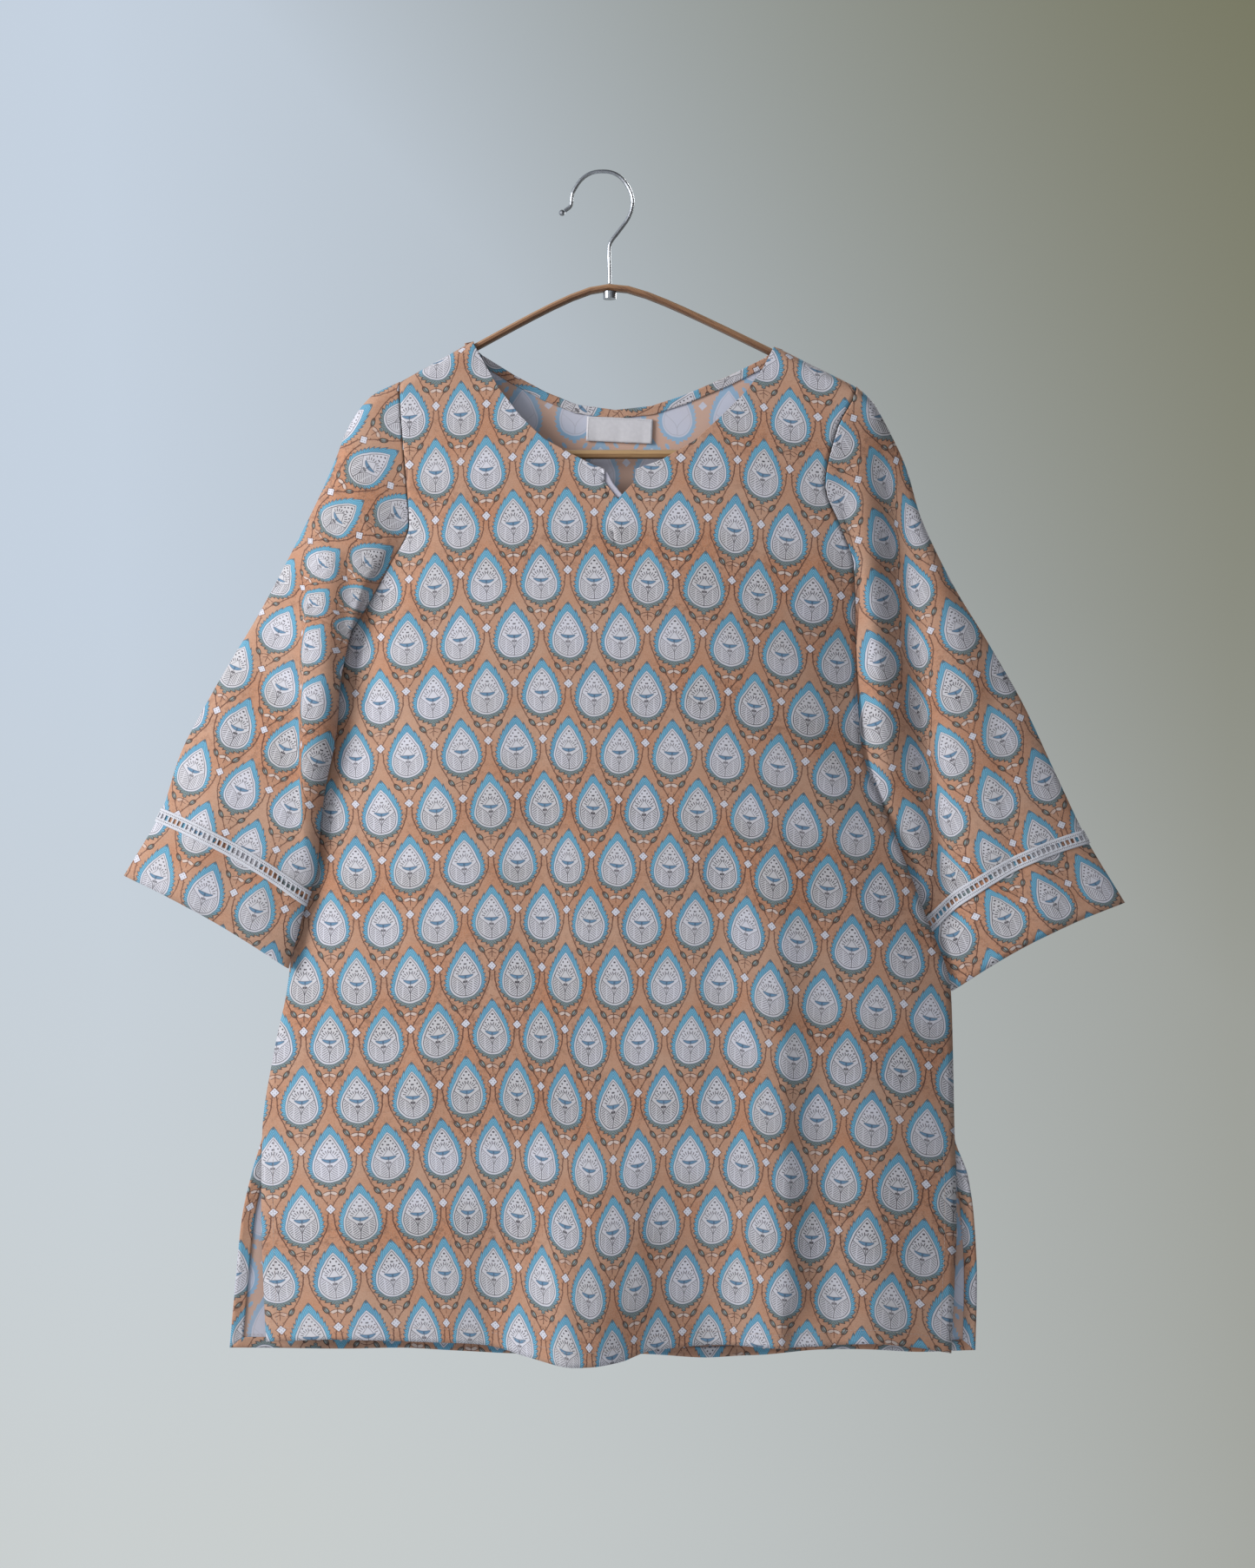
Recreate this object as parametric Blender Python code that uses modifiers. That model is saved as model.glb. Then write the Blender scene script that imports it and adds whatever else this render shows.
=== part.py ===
"""A block-printed cotton kurta tunic with lace-banded sleeves, on a bent-wood hanger.

Frame: metres, Z up, X to the viewer's right, the garment's front faces -Y.
The origin is the inner top of the hanger's hook, where a peg holds it.
Tables are in millimetres: each row is one height, section, fold or point.
"""

from collections import namedtuple

import bmesh
import bpy
import numpy as np

MM = 0.001

# Driving dimensions, metres
WALL = 1.3 * MM  # cloth as a solid wall, centred on its surface
SEAM = 0.3 * MM  # between pieces that are sewn together
LACE_WALL = 1.0 * MM
LABEL_WALL = 0.8 * MM
SEAM_OFFSET = 0.7 * MM  # from a panel's armhole edge to the sleeve's
LACE_GAP = 0.4 * MM
SHOULDER_ROLL = 9 * MM  # how far below the shoulder the cloth turns from flat to hanging
SHOULDER_GAP = 0.4 * MM  # from y = 0 to each panel's edge along the shoulder
WIRE = 3.2 * MM  # hook wire, diameter
BAR_HEIGHT = 5 * MM  # the bent wooden strip
BAR_DEPTH = 9 * MM
BAR_COVER = 5.4 * MM  # from the strip's centre line up to the cloth that lies on it
DOWEL = 7.6 * MM
DOWEL_Z = -228 * MM
NUT_WIDTH = 10.6 * MM
NUT_HEIGHT = 5.6 * MM
LACE_HOLES_PER_COLUMN = 3
LACE_HOLE_SHARE = 0.68  # of each hole's pitch, the rest is the bar between two holes
LACE_ROWS = (0.03, 0.35, 0.65, 0.97)  # edge, hole, hole, edge, across the band's rings
LABEL_SIZE = (54 * MM, 20 * MM)
LABEL_CENTRE = (14.5 * MM, -206.5 * MM)

# The body at each height: side edges of both panels, and how far they stand off y = 0
BodyRow = namedtuple(
    "BodyRow", "z left right back_left back_right edge back_edge front back"
)
BODY = [
    BodyRow(-90, -163, 206, -163, 206, 9.0, 9.0, 9.5, 9.5),
    BodyRow(-173, -163, 206, -163, 206, 9.5, 9.5, 12, 11),
    BodyRow(-209, -161, 190, -162, 201, 12.0, 10.5, 17, 12.5),
    BodyRow(-255, -157, 180, -163, 198, 13.0, 10.5, 22, 14),
    BodyRow(-287, -155, 192, -167, 200, 12.5, 10.0, 25, 15),
    BodyRow(-318, -170, 203, -178, 204, 10.5, 8.5, 27, 15.5),
    BodyRow(-350, -188, 205, -194, 205, 7.0, 5.5, 29, 16),
    BodyRow(-385, -208.5, 206, -208.5, 206, 0.75, 0.75, 30.5, 16.5),
    BodyRow(-459, -222.5, 210, -222.5, 210, 0.75, 0.75, 33, 17.5),
    BodyRow(-537, -238, 238, -238, 238, 0.75, 0.75, 35, 18),
    BodyRow(-600, -248, 262, -248, 262, 0.75, 0.75, 36, 18.5),
    BodyRow(-664, -255.5, 283.5, -255.5, 283.5, 0.75, 0.75, 36.5, 19),
    BodyRow(-706, -264.5, 285, -264.5, 285, 0.75, 0.75, 37, 19),
    BodyRow(-780, -275.5, 286.5, -275.5, 286.5, 0.75, 0.75, 37.5, 19),
    BodyRow(-815, -276, 287.5, -285.5, 298, 3.0, 1.5, 38, 19.5),
    BodyRow(-850, -275.5, 287.5, -293, 303, 5.5, 1.5, 38.5, 20),
    BodyRow(-900, -273.5, 285.5, -298, 305.5, 7.5, 2.0, 39, 20),
    BodyRow(-970, -270, 282, -304.5, 304, 9.0, 3.0, 40, 20),
]
UNDERARM_Z = -385
VENT_TOP_Z = -780
TURNED_SIDE = 10.5  # width of the allowance turned in along the back's vents
TURNED_HEM = 9.0

# Edges of the cloth from left to right: hems, then necklines between the neck points
EdgePoint = namedtuple("EdgePoint", "x z")
FRONT_HEM = [
    EdgePoint(-270, -947),
    EdgePoint(-195, -940),
    EdgePoint(-115, -941),
    EdgePoint(-60, -948),
    EdgePoint(-18, -953.5),
    EdgePoint(14, -952),
    EdgePoint(40, -945.5),
    EdgePoint(90, -944.5),
    EdgePoint(150, -945),
    EdgePoint(210, -943.5),
    EdgePoint(250, -949),
    EdgePoint(282, -956.5),
]
BACK_HEM = [
    EdgePoint(-304, -955),
    EdgePoint(-160, -961),
    EdgePoint(-40, -963),
    EdgePoint(40, -967),
    EdgePoint(80, -968),
    EdgePoint(120, -964.5),
    EdgePoint(180, -960),
    EdgePoint(250, -960.5),
    EdgePoint(304, -957),
]
FRONT_NECK = [
    EdgePoint(-104, -138),
    EdgePoint(-103.2, -140.5),
    EdgePoint(-95, -155),
    EdgePoint(-83, -176),
    EdgePoint(-65.5, -199),
    EdgePoint(-47, -217.5),
    EdgePoint(-25, -230),
    EdgePoint(-5.5, -240),
    EdgePoint(2.3, -242.5),
    EdgePoint(2.3, -253),
    EdgePoint(13.3, -267.5),
    EdgePoint(27, -252.5),
    EdgePoint(27.5, -243),
    EdgePoint(49, -235),
    EdgePoint(75, -219.5),
    EdgePoint(97, -199),
    EdgePoint(118, -177.5),
    EdgePoint(130, -160.5),
    EdgePoint(139.2, -143),
    EdgePoint(140, -140),
]
BACK_NECK = [
    EdgePoint(-104, -138),
    EdgePoint(-103.2, -140.5),
    EdgePoint(-97.5, -145.5),
    EdgePoint(-71, -161.8),
    EdgePoint(-45.5, -175.3),
    EdgePoint(-20, -185.5),
    EdgePoint(11, -189.7),
    EdgePoint(40.5, -186.5),
    EdgePoint(66.5, -178),
    EdgePoint(101, -163.5),
    EdgePoint(132, -148),
    EdgePoint(139.2, -143),
    EdgePoint(140, -140),
]
# The facing's turned edge in the notch: its left edge and its width
FacingPoint = namedtuple("FacingPoint", "x z width")
NOTCH_FACING = [
    FacingPoint(3, -245, 1.4),
    FacingPoint(3, -254, 6.2),
    FacingPoint(12.5, -266, 6.2),
]
SHOULDER_STOPS = (0.34, 0.67)  # columns between neck point and shoulder end
BACK_NECK_HALVED = (4, 7)  # stretches of the back neckline that take a column between
ROLL_DROPS = (0, 2.5, 7, 14)  # rows over the shoulder, below a panel's top
ARMHOLE_ROWS = 10  # from there to the underarm
BODY_ROWS = {-1: 12, 1: 10}  # from there to the vents, front and back
VENT_ROWS = 5  # from there to the hem
BAND_RINGS = 2  # rows of the back panel that its neck band covers

# Soft folds: a ridge (height > 0, towards the outside) or trough along a line,
# with its own width on each side, growing from the first point to the second
Fold = namedtuple("Fold", "x1 z1 x2 z2 left right start end")
FRONT_FOLDS = [
    Fold(-2, -760, -19, -962, 48, 42, 0, 27),
    Fold(84, -800, 96, -960, 38, 40, 0, -13),
    Fold(-72, -800, -80, -960, 26, 30, 0, -9),
    Fold(143, -520, 145, -905, 42, 16, 0, 7),
    Fold(176, -560, 182, -905, 18, 34, 0, -5),
    Fold(-66, -800, -62, -958, 16, 14, 0, 4),
    Fold(212, -700, 222, -958, 26, 26, 0, 7),
    Fold(-196, -640, -205, -958, 36, 30, 0, 6),
    Fold(-132, -290, -178, -420, 14, 20, 4, 3),
]
BACK_FOLDS = [
    Fold(-150, -520, -165, -960, 40, 32, 0, 9),
    Fold(-62, -640, -70, -960, 34, 30, 0, -7),
    Fold(30, -560, 38, -960, 44, 36, 0, 8),
    Fold(132, -620, 140, -960, 30, 36, 0, -7),
    Fold(205, -600, 222, -960, 34, 28, 0, 6),
]
LEFT_SLEEVE_FOLDS = [
    Fold(-236, -315, -241, -545, 5, 38, 7, 6),
    Fold(-198, -300, -206, -400, 9, 9, -3, -6),
    Fold(-290, -420, -330, -575, 16, 20, 0, 4),
]
RIGHT_SLEEVE_FOLDS = [
    Fold(206, -240, 231, -575, 12, 18, 4, 6),
    Fold(224, -212, 274, -590, 14, 16, -6, -5),
    Fold(300, -400, 356, -600, 18, 20, 0, 4),
]

# Sleeve sections from armhole to cuff: outer and inner fold, how far each stands off
# y = 0, how deep the cloth bellies to front and back, the armhole's share in it, and how
# far the middle of the section lies up the sleeve
SleeveRow = namedtuple(
    "SleeveRow",
    "outer_x outer_z inner_x inner_z outer_y inner_y front back armhole bow",
)
LEFT_SLEEVE = [
    SleeveRow(-163.5, -173, -209, -385, 0, 0, 13, 11, 1.0, 0),
    SleeveRow(-186, -184, -215, -388, 0, -1.5, 14, 12, 0.92, 0),
    SleeveRow(-206, -210, -219, -403, 0, -6, 15, 12, 0.66, 0),
    SleeveRow(-215.5, -233, -219.5, -423, 0, -9.5, 15, 11, 0.4, 0),
    SleeveRow(-228, -261, -218.5, -444, 0, -12, 15, 10, 0.2, 0),
    SleeveRow(-246, -297, -216, -466, 0, -13, 15, 10, 0.07, 0),
    SleeveRow(-277.5, -356.5, -222, -494, 0, -13, 14, 10, 0, 1),
    SleeveRow(-313, -416.5, -227, -529.5, 0, -13, 13, 10, 0, 2),
    SleeveRow(-342.5, -473, -229.5, -565, 0, -13, 13, 10, 0, 4),
    SleeveRow(-355.5, -513.5, -234.5, -580.5, 0, -13, 13, 10, 0, 5.5),
    SleeveRow(-363, -529, -240, -597, 0, -13, 13, 10, 0, 6),
    SleeveRow(-388, -570.5, -253, -645, 0, -11, 13, 11, 0, 5),
]
RIGHT_SLEEVE = [
    SleeveRow(206.5, -173, 206.5, -385, 0, 0, 13, 11, 1.0, 0),
    SleeveRow(219, -184, 212, -388, 0, 1.5, 14, 12, 0.92, 0),
    SleeveRow(234.5, -210, 214, -404, 0, 5, 15, 12, 0.66, 0),
    SleeveRow(248.5, -240, 213.5, -428, 0, 8.5, 16, 12, 0.4, 0),
    SleeveRow(259, -275, 211, -455, 0, 11.5, 16, 12, 0.2, 0),
    SleeveRow(286, -332, 211.5, -487, 0, 13, 16, 12, 0.07, 0),
    SleeveRow(315.5, -381, 220, -512, 0, 13, 15, 12, 0, 1),
    SleeveRow(344, -431, 232.5, -540, 0, 13, 14, 11, 0, 3),
    SleeveRow(368.5, -483.5, 245, -572, 0, 13, 13, 11, 0, 7),
    SleeveRow(391, -531.5, 258, -608, 0, 13, 13, 11, 0, 11),
    SleeveRow(399, -547, 266.5, -624, 0, 12, 13, 11, 0, 12),
    SleeveRow(427, -593, 286, -665, 0, 8, 13, 11, 0, 7),
]
SLEEVE_STATIONS = (0, 1, 2, 3, 4, 5, 5.5, 6, 6.5, 7, 7.5, 8, 8.6, 9, 10, 10.5, 11)
LACE_STATION = 9  # the band lies between this row and the next

# The hook's wire from its ball to the nut
HOOK_ROUTE = [
    EdgePoint(-30.0, -30.0),
    EdgePoint(-25.0, -25.5),
    EdgePoint(-23.6, -15.5),
    EdgePoint(-17.0, -5.0),
    EdgePoint(-8.5, 0.8),
    EdgePoint(1.0, 2.1),
    EdgePoint(9.5, 0.8),
    EdgePoint(17.0, -4.2),
    EdgePoint(23.0, -13.5),
    EdgePoint(25.2, -23.0),
    EdgePoint(22.1, -35.0),
    EdgePoint(14.0, -46.5),
    EdgePoint(7.0, -56.0),
    EdgePoint(6.0, -64.0),
    EdgePoint(6.3, -77.0),
    EdgePoint(6.5, -89),
]
HOOK_STEPS = 46
HOOK_BALL = 5 * MM

# The wooden strip: a soft apex, straight arms that droop, ends turned down
APEX_X = 6 * MM
APEX_Z = -92.5 * MM
ARM_SLOPE = 0.535
APEX_RADIUS = 28 * MM
ARM_LEAN = 0.034  # the right arm sits a little higher
ARM_STRAIGHT = 168 * MM
ARM_END = 190 * MM
LEG_FOOT_Z = -236 * MM
ARCH_STEPS = 23
TurnPoint = namedtuple("TurnPoint", "share drop")
ARM_TURN = [TurnPoint(0.55, 7), TurnPoint(0.88, 14), TurnPoint(1, 23)]


def smooth(stops, values, at):
    """A monotone cubic curve through the table's values, read at one or more places."""
    stops = np.asarray(stops, float)
    values = np.asarray(values, float)
    if stops[0] > stops[-1]:
        stops = stops[::-1]
        values = values[::-1]
    step = np.diff(stops)
    rise = np.diff(values) / step
    slope = np.zeros(len(values))
    same = rise[1:] * rise[:-1] > 0
    total = np.where(same, rise[1:] + rise[:-1], 1)
    slope[1:-1] = np.where(same, 2 * rise[1:] * rise[:-1] / total, 0)
    slope[0] = rise[0]
    slope[-1] = rise[-1]
    at = np.clip(np.asarray(at, float), stops[0], stops[-1])
    k = np.clip(np.searchsorted(stops, at, side="right") - 1, 0, len(step) - 1)
    t = (at - stops[k]) / step[k]
    return (
        values[k] * (1 + 2 * t) * (1 - t) ** 2
        + values[k + 1] * t * t * (3 - 2 * t)
        + step[k] * (slope[k] * t * (1 - t) ** 2 - slope[k + 1] * t * t * (1 - t))
    )


def body(column, z):
    """One column of the body table at a height, all in metres."""
    stops = [row.z * MM for row in BODY]
    values = [getattr(row, column) * MM for row in BODY]
    return smooth(stops, values, z)


def bar_z(x):
    """Centre line of the wooden strip."""
    off = x - APEX_X
    droop = ARM_SLOPE * (np.sqrt(off * off + APEX_RADIUS**2) - APEX_RADIUS)
    return APEX_Z - droop + ARM_LEAN * off


def shoulder_z(x):
    """The line of the cloth that lies on the strip."""
    return bar_z(x) + BAR_COVER


def fold_depth(folds, x, z):
    """How far the folds move the cloth outwards at a point of the panel's face."""
    total = np.zeros(np.broadcast(x, z).shape)
    for fold in folds:
        start = np.array((fold.x1, fold.z1)) * MM
        run = np.array((fold.x2, fold.z2)) * MM - start
        length = np.hypot(*run)
        along = ((x - start[0]) * run[0] + (z - start[1]) * run[1]) / length**2
        across = ((x - start[0]) * -run[1] + (z - start[1]) * run[0]) / length
        width = np.where(across < 0, fold.left, fold.right) * MM
        part = np.clip(along, 0, 1)
        beyond = np.maximum(np.maximum(-along, along - 1), 0) * length / width
        height = (fold.start + (fold.end - fold.start) * part) * MM
        total = total + height * np.exp(-((across / width) ** 2) - beyond**2)
    return total


def panel_y(x, z, share, side):
    """Depth of the front (side -1) or back (side +1) panel, share 0 to 1 across it."""
    edge = body("edge" if side < 0 else "back_edge", z)
    middle = body("front" if side < 0 else "back", z)
    belly = 1 - np.abs(2 * share - 1) ** 3
    drop = np.clip((shoulder_z(x) - z) / SHOULDER_ROLL, 0, 1)
    roll = np.sqrt(1 - (1 - drop) ** 2)
    folds = FRONT_FOLDS if side < 0 else BACK_FOLDS
    depth = roll * (edge + (middle - edge) * belly)
    depth = depth + belly * fold_depth(folds, x, z)
    return side * (SHOULDER_GAP + depth)


def top_line(neck, columns_between):
    """Points along a panel's top, from its left shoulder end to its right one."""
    left = BODY[0].left * MM
    right = BODY[0].right * MM
    neck_left = neck[0].x * MM
    neck_right = neck[-1].x * MM
    start = [left] + [left + (neck_left - left) * stop for stop in SHOULDER_STOPS]
    end = [neck_right + (right - neck_right) * (1 - s) for s in SHOULDER_STOPS[::-1]]
    points = [(x, shoulder_z(x)) for x in start]
    for k, point in enumerate(neck):
        points.append((point.x * MM, point.z * MM))
        if k in columns_between:
            after = neck[k + 1]
            points.append(((point.x + after.x) * MM / 2, (point.z + after.z) * MM / 2))
    points += [(x, shoulder_z(x)) for x in end + [right]]
    points[len(start)] = (neck_left, shoulder_z(neck_left))
    points[-len(end) - 2] = (neck_right, shoulder_z(neck_right))
    return np.array(points)


def row_heights(z_top, side, hem_z, turned):
    """Heights of a column's points: the roll, the armhole, the body, the vents, the hem."""
    roll = z_top - np.array(ROLL_DROPS) * MM
    stops = [roll[-1], UNDERARM_Z * MM, VENT_TOP_Z * MM, hem_z + turned]
    counts = [ARMHOLE_ROWS, BODY_ROWS[side], VENT_ROWS]
    runs = [roll]
    for start, end, count in zip(stops, stops[1:], counts):
        runs.append(np.linspace(start, end, count + 1)[1:])
    if turned:
        runs.append([hem_z])
    return np.concatenate(runs)


def panel_grid(side, neck, hem, turned=0.0, columns_between=()):
    """The middle surface of a panel, as rows of points from top to hem."""
    left_name = "left" if side < 0 else "back_left"
    right_name = "right" if side < 0 else "back_right"
    hem_x = [point.x * MM for point in hem]
    hem_z = [point.z * MM for point in hem]
    columns = []
    for x_top, z_top in top_line(neck, columns_between):
        left = body(left_name, z_top)
        right = body(right_name, z_top)
        share = np.clip((x_top - left) / (right - left), 0, 1)
        end = smooth(hem_x, hem_z, hem_x[0] + (hem_x[-1] - hem_x[0]) * share)
        z = row_heights(z_top, side, float(end), turned)
        left = body(left_name, z)
        right = body(right_name, z)
        x = left + (right - left) * share
        columns.append(np.stack([x, panel_y(x, z, share, side), z], axis=1))
    return np.stack(columns, axis=1)


def with_edge_columns(grid, inset, side):
    """Adds a column near each side edge, where the turned allowance ends."""
    left = grid[:, 0]
    right = grid[:, -1]
    width = np.linalg.norm(right - left, axis=1)[:, None]
    share = inset / width
    near_left = left + (right - left) * share
    near_right = right + (left - right) * share
    for near, part in ((near_left, share), (near_right, 1 - share)):
        near[:, 1] = panel_y(near[:, 0], near[:, 2], part[:, 0], side)
    return np.concatenate(
        [grid[:, :1], near_left[:, None], grid[:, 1:-1], near_right[:, None], grid[:, -1:]],
        axis=1,
    )


def lens(across):
    """Belly of a flattened tube, 0 at its two folds."""
    return (1 - np.abs(2 * across - 1) ** 2.4) ** 0.6


def armhole(panel, side_name):
    """The sleeve's first row: the panel's own armhole edge, moved just outside it."""
    column = 0 if side_name == "left" else -1
    edge = panel[: len(ROLL_DROPS) + ARMHOLE_ROWS, column].copy()
    run = np.gradient(edge[:, [0, 2]], axis=0)
    run /= np.linalg.norm(run, axis=1)[:, None]
    shift = SEAM_OFFSET * (1 if side_name == "left" else -1)
    edge[:, 0] += shift * run[:, 1]
    edge[:, 2] -= shift * run[:, 0]
    edge[[0, -1], 1] = 0
    return edge


def sleeve_half(rows, seam, folds, back):
    """One half of a sleeve's middle surface: a row of points for each station."""
    across = np.linspace(0, 1, len(seam))
    index = np.arange(len(rows))
    grid = []
    chord = None
    for station in SLEEVE_STATIONS:
        row = SleeveRow(
            *(smooth(index, [r[k] for r in rows], station) for k in range(len(rows[0])))
        )
        outer = np.array((row.outer_x, row.outer_y, row.outer_z)) * MM
        inner = np.array((row.inner_x, row.inner_y, row.inner_z)) * MM
        points = outer + (inner - outer) * across[:, None]
        up = np.array((outer[2] - inner[2], 0, inner[0] - outer[0]))
        up *= np.sign(up[2]) / np.linalg.norm(up)
        points += up * (row.bow * MM * (1 - (2 * across - 1) ** 2))[:, None]
        belly = row.back if back else -row.front
        points[:, 1] += belly * MM * lens(across)
        if chord is None:
            chord = points.copy()
        points += row.armhole * (seam - chord)
        if not back:
            depth = fold_depth(folds, points[:, 0], points[:, 2])
            points[:, 1] -= (1 - row.armhole) * lens(across) * depth
        grid.append(points)
    return np.array(grid)


def ring_grid(front, back):
    """A closed tube from its two halves, which share their first and last points."""
    return np.concatenate([front, back[:, -2:0:-1]], axis=1)


def outward(grid, closed=False):
    """Normals at a grid's points, stretched at bends so that a moved grid stays clear."""
    if closed:
        grid = np.concatenate([grid[:, -1:], grid, grid[:, :1]], axis=1)
    faces = np.cross(grid[:-1, 1:] - grid[1:, :-1], grid[1:, 1:] - grid[:-1, :-1])
    faces /= np.linalg.norm(faces, axis=2)[:, :, None]
    near = np.pad(faces, ((1, 1), (1, 1), (0, 0)), mode="edge")
    around = np.stack([near[:-1, :-1], near[:-1, 1:], near[1:, :-1], near[1:, 1:]])
    normal = around.sum(axis=0)
    normal /= np.linalg.norm(normal, axis=2)[:, :, None]
    lean = (around * normal).sum(axis=3).mean(axis=0)
    normal /= np.maximum(lean, 0.4)[:, :, None]
    return normal[:, 1:-1] if closed else normal


def material(name, colour, roughness, metallic=0.0):
    made = bpy.data.materials.new(name)
    made.use_nodes = True
    shader = made.node_tree.nodes["Principled BSDF"]
    shader.inputs["Base Color"].default_value = (*colour, 1)
    shader.inputs["Roughness"].default_value = roughness
    shader.inputs["Metallic"].default_value = metallic
    made.diffuse_color = (*colour, 1)
    return made


def mesh_object(name, bm, finish):
    mesh = bpy.data.meshes.new(name)
    bm.to_mesh(mesh)
    bm.free()
    mesh.materials.append(finish)
    made = bpy.data.objects.new(name, mesh)
    parts.objects.link(made)
    return made


def thin_sheet(name, grid, wall, finish, closed=False, flip=False, kept=None):
    """A cloth piece: the grid's faces, thickened by half the wall to each side."""
    rows, columns = grid.shape[:2]
    bm = bmesh.new()
    verts = [[bm.verts.new(point) for point in row] for row in grid]
    for i in range(rows - 1):
        for j in range(columns if closed else columns - 1):
            if kept is not None and not kept(i, j):
                continue
            k = (j + 1) % columns
            corners = [verts[i][j], verts[i + 1][j], verts[i + 1][k], verts[i][k]]
            bm.faces.new(corners[::-1] if flip else corners)
    loose = [vert for vert in bm.verts if not vert.link_faces]
    bmesh.ops.delete(bm, geom=loose, context="VERTS")
    made = mesh_object(name, bm, finish)
    made.data.shade_smooth()
    thicken = made.modifiers.new("wall", "SOLIDIFY")
    thicken.thickness = wall
    thicken.offset = 0
    thicken.use_rim = True
    return made


def poly_curve(name, points, finish, radius=0.0, profile=None):
    """A straight-segment curve with a round bevel, or with a profile's section."""
    curve = bpy.data.curves.new(name, "CURVE")
    curve.dimensions = "3D"
    curve.twist_mode = "MINIMUM"
    spline = curve.splines.new("POLY")
    spline.points.add(len(points) - 1)
    for target, point in zip(spline.points, points):
        target.co = (*point, 1)
    if profile is None:
        curve.bevel_depth = radius
        curve.bevel_resolution = 2
    else:
        curve.bevel_mode = "OBJECT"
        curve.bevel_object = profile
    curve.use_fill_caps = True
    curve.materials.append(finish)
    made = bpy.data.objects.new(name, curve)
    parts.objects.link(made)
    return made


def rounded_profile(name, width, height):
    """A closed section with cut corners for the wooden strip, kept as a guide."""
    cut = 0.32 * height
    half_w = width / 2
    half_h = height / 2
    corners = [
        (half_w, half_h - cut),
        (half_w - cut, half_h),
        (cut - half_w, half_h),
        (-half_w, half_h - cut),
        (-half_w, cut - half_h),
        (cut - half_w, -half_h),
        (half_w - cut, -half_h),
        (half_w, cut - half_h),
    ]
    curve = bpy.data.curves.new(name, "CURVE")
    curve.dimensions = "2D"
    curve.fill_mode = "NONE"
    spline = curve.splines.new("POLY")
    spline.points.add(len(corners) - 1)
    for target, (u, v) in zip(spline.points, corners):
        target.co = (v, u, 0, 1)
    spline.use_cyclic_u = True
    made = bpy.data.objects.new(name, curve)
    made.hide_render = True
    made.display_type = "WIRE"
    guides.objects.link(made)
    return made


def make_panels():
    front = panel_grid(-1, FRONT_NECK, FRONT_HEM)
    thin_sheet("front_panel", front, WALL, print_cloth)
    back = panel_grid(1, BACK_NECK, BACK_HEM, TURNED_HEM * MM, BACK_NECK_HALVED)
    back = with_edge_columns(back, TURNED_SIDE * MM, 1)
    thin_sheet("back_panel", back, WALL, print_cloth, flip=True)
    return front, back


def make_back_trims(back):
    """What is sewn to the back panel's inside: neck band, turned edges and label."""
    inner = WALL / 2 + SEAM
    normal = outward(back)
    on_inside = back + normal * (inner + WALL / 2)
    shoulder_columns = len(SHOULDER_STOPS) + 4
    last = back.shape[1] - 1

    def band(i, j):
        return i < BAND_RINGS and shoulder_columns <= j < last - shoulder_columns

    thin_sheet("neck_band", on_inside, WALL, print_cloth, flip=True, kept=band)
    vent_row = len(ROLL_DROPS) + ARMHOLE_ROWS + BODY_ROWS[1] - 1

    def turned(i, j):
        beside = j in (0, last - 1) and i >= vent_row
        return beside or i == back.shape[0] - 2

    thin_sheet("back_turned_edge", on_inside, WALL, print_inside, flip=True, kept=turned)
    width, height = LABEL_SIZE
    x = np.linspace(-0.5, 0.5, 5) * width + LABEL_CENTRE[0]
    z = LABEL_CENTRE[1] + np.array((0.5, 0, -0.5)) * height
    xs, zs = np.meshgrid(x, z)
    share = (xs - body("back_left", zs)) / (body("back_right", zs) - body("back_left", zs))
    lift = inner + SEAM + LABEL_WALL / 2
    ys = panel_y(xs, zs, share, 1) - lift
    label = np.stack([xs, ys, zs], axis=2)
    thin_sheet("label", label, LABEL_WALL, label_cloth)


def make_notch_facing():
    """The facing's turned edge that shows inside the left side of the neck notch."""
    rows = [[(p.x, 0, p.z), (p.x + p.width, 0, p.z)] for p in NOTCH_FACING]
    grid = np.array(rows) * MM
    x = grid[:, :, 0]
    z = grid[:, :, 2]
    share = (x - body("left", z)) / (body("right", z) - body("left", z))
    grid[:, :, 1] = panel_y(x, z, share, -1) + WALL + SEAM
    thin_sheet("notch_facing", grid, WALL, facing_cloth)


def make_sleeve(name, rows, side_name, folds, front_panel, back_panel):
    front = sleeve_half(rows, armhole(front_panel, side_name), folds, False)
    back = sleeve_half(rows, armhole(back_panel, side_name), folds, True)
    ring = ring_grid(front, back)
    on_left = side_name == "left"
    thin_sheet(name, ring, WALL, print_cloth, closed=True, flip=on_left)
    make_lace(name, ring, front.shape[1] - 1, on_left)


def make_lace(name, ring, half_columns, on_left):
    """Two halves of the ladder lace, laid on the sleeve's own rings."""
    sign = -1 if on_left else 1
    lift = sign * (WALL / 2 + LACE_GAP + LACE_WALL / 2)
    moved = ring + outward(ring, closed=True) * lift
    station = SLEEVE_STATIONS.index(LACE_STATION)
    upper, lower = moved[station], moved[station + 1]
    stops = []
    for column in range(half_columns):
        for hole in range(LACE_HOLES_PER_COLUMN):
            stops.append(column + hole / LACE_HOLES_PER_COLUMN)
            stops.append(column + (hole + 1 - LACE_HOLE_SHARE) / LACE_HOLES_PER_COLUMN)
    stops.append(half_columns)
    stops = np.array(stops)
    stops[0] += 0.08
    stops[-1] -= 0.08
    for half, first in (("front", 0), ("back", half_columns)):
        index = np.arange(len(moved[0]) + 1)
        rows = []
        for share in LACE_ROWS:
            line = upper + (lower - upper) * share
            line = np.concatenate([line, line[:1]])
            rows.append(
                np.stack([np.interp(first + stops, index, line[:, k]) for k in range(3)], 1)
            )
        grid = np.array(rows)

        def solid(i, j):
            return i != 1 or j % 2 == 0

        thin_sheet(f"lace_{name}_{half}", grid, LACE_WALL, lace, flip=on_left, kept=solid)


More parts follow.
